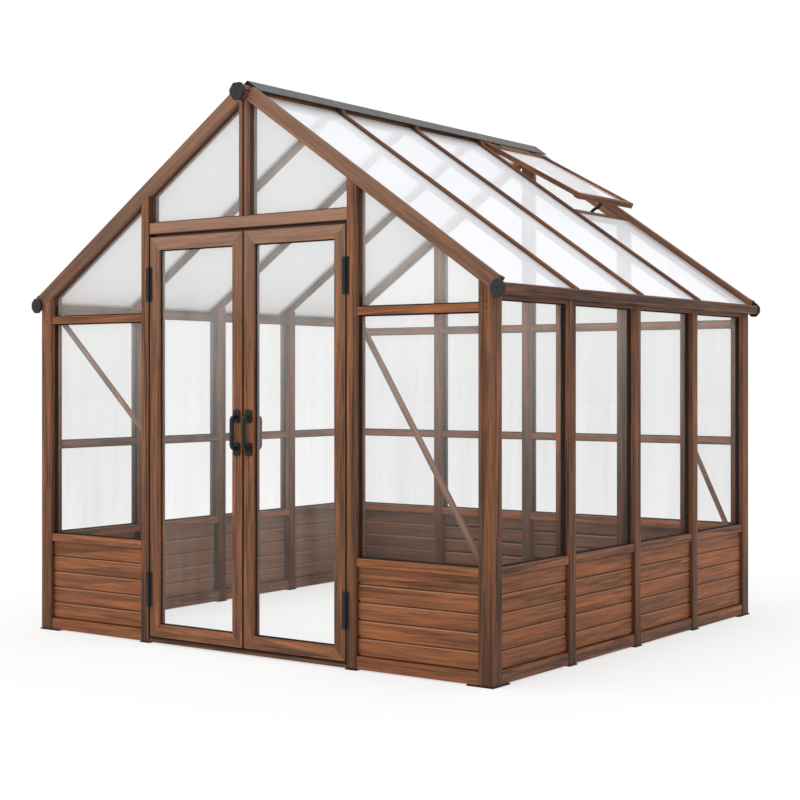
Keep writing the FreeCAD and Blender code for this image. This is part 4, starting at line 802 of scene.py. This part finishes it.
brace_form = bmesh.new()
for brace_ends in BRACES:
    fitted_brace(brace_form, *brace_ends)
braces = piece_from("fitted_braces", brace_form, "frame", "timber", FINISHES["wall_braces"])
soften(braces, TIMBER_EDGE, BENT_ANGLE)
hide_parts("wall_braces")

# Stiles of the vent: slim between the rails, and as deep as the rails at both ends
VENT_LENGTH = 0.660
STILE_DEEP = 0.030
STILE_SLIM = 0.0235
VENT_UP = Vector((math.sin(VENT_TILT), 0.0, math.cos(VENT_TILT)))
STILE_WIDTH = 0.028
STILE_STEPS = ((0.000, STILE_DEEP), (0.028, STILE_DEEP), (0.042, STILE_SLIM), (0.618, STILE_SLIM),
               (0.632, STILE_DEEP), (0.660, STILE_DEEP))


def slim_stile(form, head, start, end):
    """Bar down the vent from its head, with the given depth at each step."""
    rings = []
    for along, depth in STILE_STEPS:
        top = head + Vector(VENT_SLOPE) * along
        foot = top - VENT_UP * depth
        rings.append([Vector((top.x, start, top.z)), Vector((top.x, end, top.z)),
                      Vector((foot.x, end, foot.z)), Vector((foot.x, start, foot.z))])
    loft(form, rings)


stile_low, stile_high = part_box("vent_stiles")
vent_head = Vector((stile_high.x - VENT_LENGTH * math.cos(VENT_TILT), 0.0, stile_high.z))
stile_form = bmesh.new()
for start in (stile_low.y, stile_high.y - STILE_WIDTH):
    slim_stile(stile_form, vent_head, start, start + STILE_WIDTH)
stiles = piece_from("slim_vent_stiles", stile_form, "vent", "timber", FINISHES["vent_stiles"])
soften(stiles, TIMBER_EDGE)
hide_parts("vent_stiles")

# Glazing bars: round crowns low over the sheets, and full height only where they carry the ridge capping
BAR_HALF = 0.014
BAR_CROWN = 0.009
BAR_LOW = 0.050
BAR_FULL = 0.064
BAR_STEPS = ((0.0, BAR_LOW), (1.540, BAR_LOW), (1.566, BAR_FULL), (1.5908, BAR_FULL))
BAR_PLACES = (-SIDE_BAY, 0.0, SIDE_BAY)
CROWN_STEPS = 14


def bar_section(top):
    """Outline of a bar across the slope, from its foot over the crown."""
    radius = (BAR_HALF ** 2 + BAR_CROWN ** 2) / (2 * BAR_CROWN)
    reach = math.asin(BAR_HALF / radius)
    section = [(-BAR_HALF, 0.0), (BAR_HALF, 0.0)]
    for step in range(CROWN_STEPS + 1):
        angle = reach * (1 - 2 * step / CROWN_STEPS)
        section.append((radius * math.sin(angle), top - radius + radius * math.cos(angle)))
    return section


def slope_place(side, along, y, rise):
    """Place on a slope, measured up from the eave and out from the underside of the bars."""
    x = HALF_WIDTH - along * math.cos(ROOF_PITCH) + rise * math.sin(ROOF_PITCH)
    z = WALL_TOP + along * math.sin(ROOF_PITCH) + rise * math.cos(ROOF_PITCH)
    return Vector((side * x, y, z))


for side, word in ((-1, "left"), (1, "right")):
    bar_form = bmesh.new()
    for middle in BAR_PLACES:
        rings = []
        for along, top in BAR_STEPS:
            section = bar_section(top)
            rings.append([slope_place(side, along, middle + across, rise) for across, rise in section])
        loft(bar_form, rings)
    bars = piece_from(f"{word}_crowned_bars", bar_form, "frame", "timber", FINISHES[f"{word}_glazing_bars"])
    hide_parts(f"{word}_glazing_bars")

# Moulded end caps: eight-sided cups over the ends of the eave and ridge beams
EAVE_CAP_CENTRE = (HALF_WIDTH + 0.0275, WALL_TOP + 0.0113)
EAVE_CAP_HALF = (0.0335, 0.0365)
EAVE_CAP_CUT = (0.0205, 0.0225)
RIDGE_CAP_CORNERS = [(0.0205, 2.5670), (-0.0205, 2.5670), (-0.0424, 2.5392), (-0.0424, 2.5222),
                     (-0.0185, 2.4890), (0.0185, 2.4890), (0.0424, 2.5222), (0.0424, 2.5392)]
RIDGE_CAP_FACE = HALF_DEPTH + 0.046
RIDGE_CAP_DEPTH = 0.0150
RIDGE_CAP_MIDDLE = 2.528
EAVE_CAP_FACE = HALF_DEPTH + 0.014
EAVE_CAP_DEPTH = 0.0130
CAP_ROUNDING = 0.006
PIP_HEAD = (0.0055, 0.0012)
CAP_DOME = 0.0006


def eave_cap_corners(side):
    """Corners of the eight-sided cap on one eave beam."""
    across, upward = EAVE_CAP_HALF
    cut_across, cut_up = EAVE_CAP_CUT
    middle_x, middle_z = side * EAVE_CAP_CENTRE[0], EAVE_CAP_CENTRE[1]
    quarter = [(across, upward - cut_up), (across - cut_across, upward)]
    upper = quarter + [(-x, z) for x, z in quarter[::-1]]
    ring = upper + [(-x, -z) for x, z in upper]
    return [(middle_x + x, middle_z + z) for x, z in ring]


def cap_levels(depth):
    """Levels and insets of a cap with a rounded rim and a slightly domed face."""
    return ((0.0, 0.0), (depth - 0.0026, 0.0), (depth - 0.0008, 0.0009), (depth, 0.0030),
            (depth + CAP_DOME, 0.016))


def end_cap(form, corners, face, front, depth):
    """Cap over a beam's end at the front or the back."""
    def place(flat, level):
        return Vector((flat.x, face * (front - depth + level), flat.y))
    cushion(form, rounded(corners, CAP_ROUNDING), cap_levels(depth), place)


caps_form = bmesh.new()
for face in (-1, 1):
    for side in (-1, 1):
        end_cap(caps_form, eave_cap_corners(side), face, EAVE_CAP_FACE, EAVE_CAP_DEPTH)
    end_cap(caps_form, RIDGE_CAP_CORNERS, face, RIDGE_CAP_FACE, RIDGE_CAP_DEPTH)
end_caps = piece_from("moulded_end_caps", caps_form, "frame", "black_plastic", black_plastic)
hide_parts("beam_end_caps")
for face, word in ((-1, "front"), (1, "back")):
    outward = (0, face, 0)
    eave_y = face * (EAVE_CAP_FACE + CAP_DOME)
    eave_pips = [(side * EAVE_CAP_CENTRE[0], eave_y, EAVE_CAP_CENTRE[1]) for side in (-1, 1)]
    heads(f"{word}_eave_cap_pips", eave_pips, outward, "frame", *PIP_HEAD, "black_plastic", rubber)
    ridge_pip = (0.0, face * (RIDGE_CAP_FACE + CAP_DOME), RIDGE_CAP_MIDDLE)
    heads(f"{word}_ridge_cap_pip", [ridge_pip], outward, "frame", *PIP_HEAD, "black_plastic", rubber)

# Moulded shoes on the lower ends of the gable rafters
RAFTER_TOP = 0.064
RAFTER_LIP = 0.028
SHOE_LOW = 0.043
SHOE_WALL = 0.003
SHOE_WRAP = 0.016
SHOE_GAP = 0.0002


def rafter_shoe(form, side, start):
    """Angle over the end and the top of a rafter's lip."""
    outline = [(SHOE_GAP, SHOE_LOW), (SHOE_WALL, SHOE_LOW), (SHOE_WALL, RAFTER_TOP + SHOE_WALL * 0.4),
               (SHOE_WALL * 0.4, RAFTER_TOP + SHOE_WALL), (-SHOE_WRAP, RAFTER_TOP + SHOE_WALL * 0.7),
               (-SHOE_WRAP, RAFTER_TOP + SHOE_GAP), (SHOE_GAP, RAFTER_TOP + SHOE_GAP)]
    rings = []
    for y in (start, start + RAFTER_LIP):
        rings.append([slope_place(side, -down, y, rise) for down, rise in outline])
    loft(form, rings)


shoe_form = bmesh.new()
for side in (-1, 1):
    for start in (-HALF_DEPTH, HALF_DEPTH - RAFTER_LIP):
        rafter_shoe(shoe_form, side, start)
piece_from("rafter_shoes", shoe_form, "frame", "black_plastic", black_plastic)

# Stay of the vent: slotted strip bent like an S, with a rolled eye on the bracket's pin
STAY_PIVOT = Vector((0.626019, 0.925500, 2.200387))
STAY_DOWN = Vector((-math.sin(ROOF_PITCH), 0.0, -math.cos(ROOF_PITCH)))
STAY_START = 0.004
STAY_LENGTH = 0.1000
STAY_SWAY = 0.0105
STAY_THICKNESS = 0.0090
STAY_EDGE = 0.0014
EYE_BORE = 0.0027
EYE_RADIUS = 0.0060
EYE_HALF = 0.0100
STAY_LINES = (-0.0100, -0.0045, 0.0045, 0.0100)
STAY_FLARE = (0.010, 0.024, 1.35)
STAY_BRIDGES = ((0.000, 0.012), (0.034, 0.041), (0.063, 0.070), (0.092, 0.101))
STAY_ROWS = 50


def stay_point(down, across):
    """Place on the bent strip, measured down from the pivot and across from its middle."""
    sway = STAY_SWAY * math.sin(2 * math.pi * down / STAY_LENGTH)
    first, last, wide = STAY_FLARE
    share = min(max((down - first) / (last - first), 0.0), 1.0)
    spread = 1.0 + (wide - 1.0) * share * share * (3.0 - 2.0 * share)
    return STAY_PIVOT + STAY_DOWN * down + Vector(SLOPE) * sway + Vector((0.0, across * spread, 0.0))


stay_form = bmesh.new()
rows = [STAY_START + (STAY_LENGTH - STAY_START) * row / STAY_ROWS for row in range(STAY_ROWS + 1)]
grid = [[stay_form.verts.new(stay_point(down, across)) for across in STAY_LINES] for down in rows]
for row in range(STAY_ROWS):
    middle = (rows[row] + rows[row + 1]) / 2
    bridged = any(low <= middle <= high for low, high in STAY_BRIDGES)
    for column in range(3):
        if column == 1 and not bridged:
            continue
        stay_form.faces.new((grid[row][column], grid[row][column + 1], grid[row + 1][column + 1],
                             grid[row + 1][column]))
loose = [vert for vert in stay_form.verts if not vert.link_faces]
bmesh.ops.delete(stay_form, geom=loose, context="VERTS")
stay_strip = piece_from("stay_strip", stay_form, "stay", "black_metal", black_metal)
stay_body = stay_strip.modifiers.new("body", "SOLIDIFY")
stay_body.thickness = STAY_THICKNESS
stay_body.offset = 0.0
soften(stay_strip, STAY_EDGE, BENT_ANGLE)
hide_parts("stay_arm")

eye_form = bmesh.new()
eye_rings = []
for step in range(HEAD_SEGMENTS):
    angle = 2 * math.pi * step / HEAD_SEGMENTS
    way = Vector((math.cos(angle), 0.0, math.sin(angle)))
    section = [(EYE_BORE, -EYE_HALF), (EYE_RADIUS, -EYE_HALF), (EYE_RADIUS, EYE_HALF), (EYE_BORE, EYE_HALF)]
    eye_rings.append([eye_form.verts.new(STAY_PIVOT + way * reach + Vector((0.0, across, 0.0)))
                      for reach, across in section])
for step, ring in enumerate(eye_rings):
    follow = eye_rings[(step + 1) % HEAD_SEGMENTS]
    for corner in range(4):
        beyond = (corner + 1) % 4
        eye_form.faces.new((ring[corner], ring[beyond], follow[beyond], follow[corner]))
piece_from("stay_eye", eye_form, "stay", "black_metal", black_metal)

# Stage, light and camera
FLOOR_HALF = 60.0
FLOOR_FILL = 0.64
WORLD_FILL = 0.86
KEY_DIRECTION = (3.0, 5.0, -7.0)
KEY_STRENGTH = 0.82
KEY_SPREAD = math.radians(60)
CAMERA_LENS = 71.868
CAMERA_SENSOR = 36.0
CAMERA_SHIFT = -0.0262
CAMERA_PLACE = (4.7619, -6.6593, 1.2412)
CAMERA_TURN = (math.radians(90.0), 0.0, math.radians(35.767))

floor_form = bmesh.new()
bmesh.ops.create_grid(floor_form, x_segments=2, y_segments=2, size=FLOOR_HALF)
floor_mesh = bpy.data.meshes.new("studio_floor")
floor_form.to_mesh(floor_mesh)
floor_form.free()
floor = bpy.data.objects.new("studio_floor", floor_mesh)
scene.collection.objects.link(floor)


def seen_rays(tree):
    """One where a camera, glossy or transmission ray arrives, else zero."""
    rays = tree.nodes.new("ShaderNodeLightPath")
    seen = rays.outputs["Is Camera Ray"]
    for name in ("Is Glossy Ray", "Is Transmission Ray"):
        either = tree.nodes.new("ShaderNodeMath")
        either.operation = "MAXIMUM"
        tree.links.new(seen, either.inputs[0])
        tree.links.new(rays.outputs[name], either.inputs[1])
        seen = either.outputs[0]
    return seen


floor_graph = Graph("pale_floor")
mottle = floor_graph.noise(floor_graph.place(), (1.5, 1.5, 1.5), detail=2.0)
seen = seen_rays(floor_graph.tree)
floor_colour = floor_graph.mix(mottle, linear(246, 246, 246), linear(249, 249, 249))
shown_colour = floor_graph.mix(seen, floor_colour, linear(162, 162, 162))
floor_mesh.materials.append(floor_graph.set(
    Base_Color=shown_colour, Roughness=1.0, Specular_IOR_Level=0.0, Emission_Color=WHITE,
    Emission_Strength=floor_graph.math("MULTIPLY", seen, FLOOR_FILL)))

world = bpy.data.worlds.new("studio_world")
scene.world = world
world.use_nodes = True
tree = world.node_tree
backdrop = tree.nodes["Background"]
level = tree.nodes.new("ShaderNodeMapRange")
tree.links.new(seen_rays(tree), level.inputs["Value"])
level.inputs["To Min"].default_value = WORLD_FILL
level.inputs["To Max"].default_value = 1.0
tree.links.new(level.outputs["Result"], backdrop.inputs["Strength"])
backdrop.inputs["Color"].default_value = WHITE

key = bpy.data.lights.new("soft_key", "SUN")
key.energy = KEY_STRENGTH
key.angle = KEY_SPREAD
key_holder = bpy.data.objects.new("soft_key", key)
key_holder.rotation_euler = Vector(KEY_DIRECTION).to_track_quat("-Z", "Y").to_euler()
scene.collection.objects.link(key_holder)

camera = bpy.data.cameras.new("photo_camera")
camera.lens = CAMERA_LENS
camera.sensor_width = CAMERA_SENSOR
camera.shift_y = CAMERA_SHIFT
holder = bpy.data.objects.new("photo_camera", camera)
holder.location = CAMERA_PLACE
holder.rotation_euler = CAMERA_TURN
scene.collection.objects.link(holder)
scene.camera = holder
scene.view_settings.view_transform = "Standard"
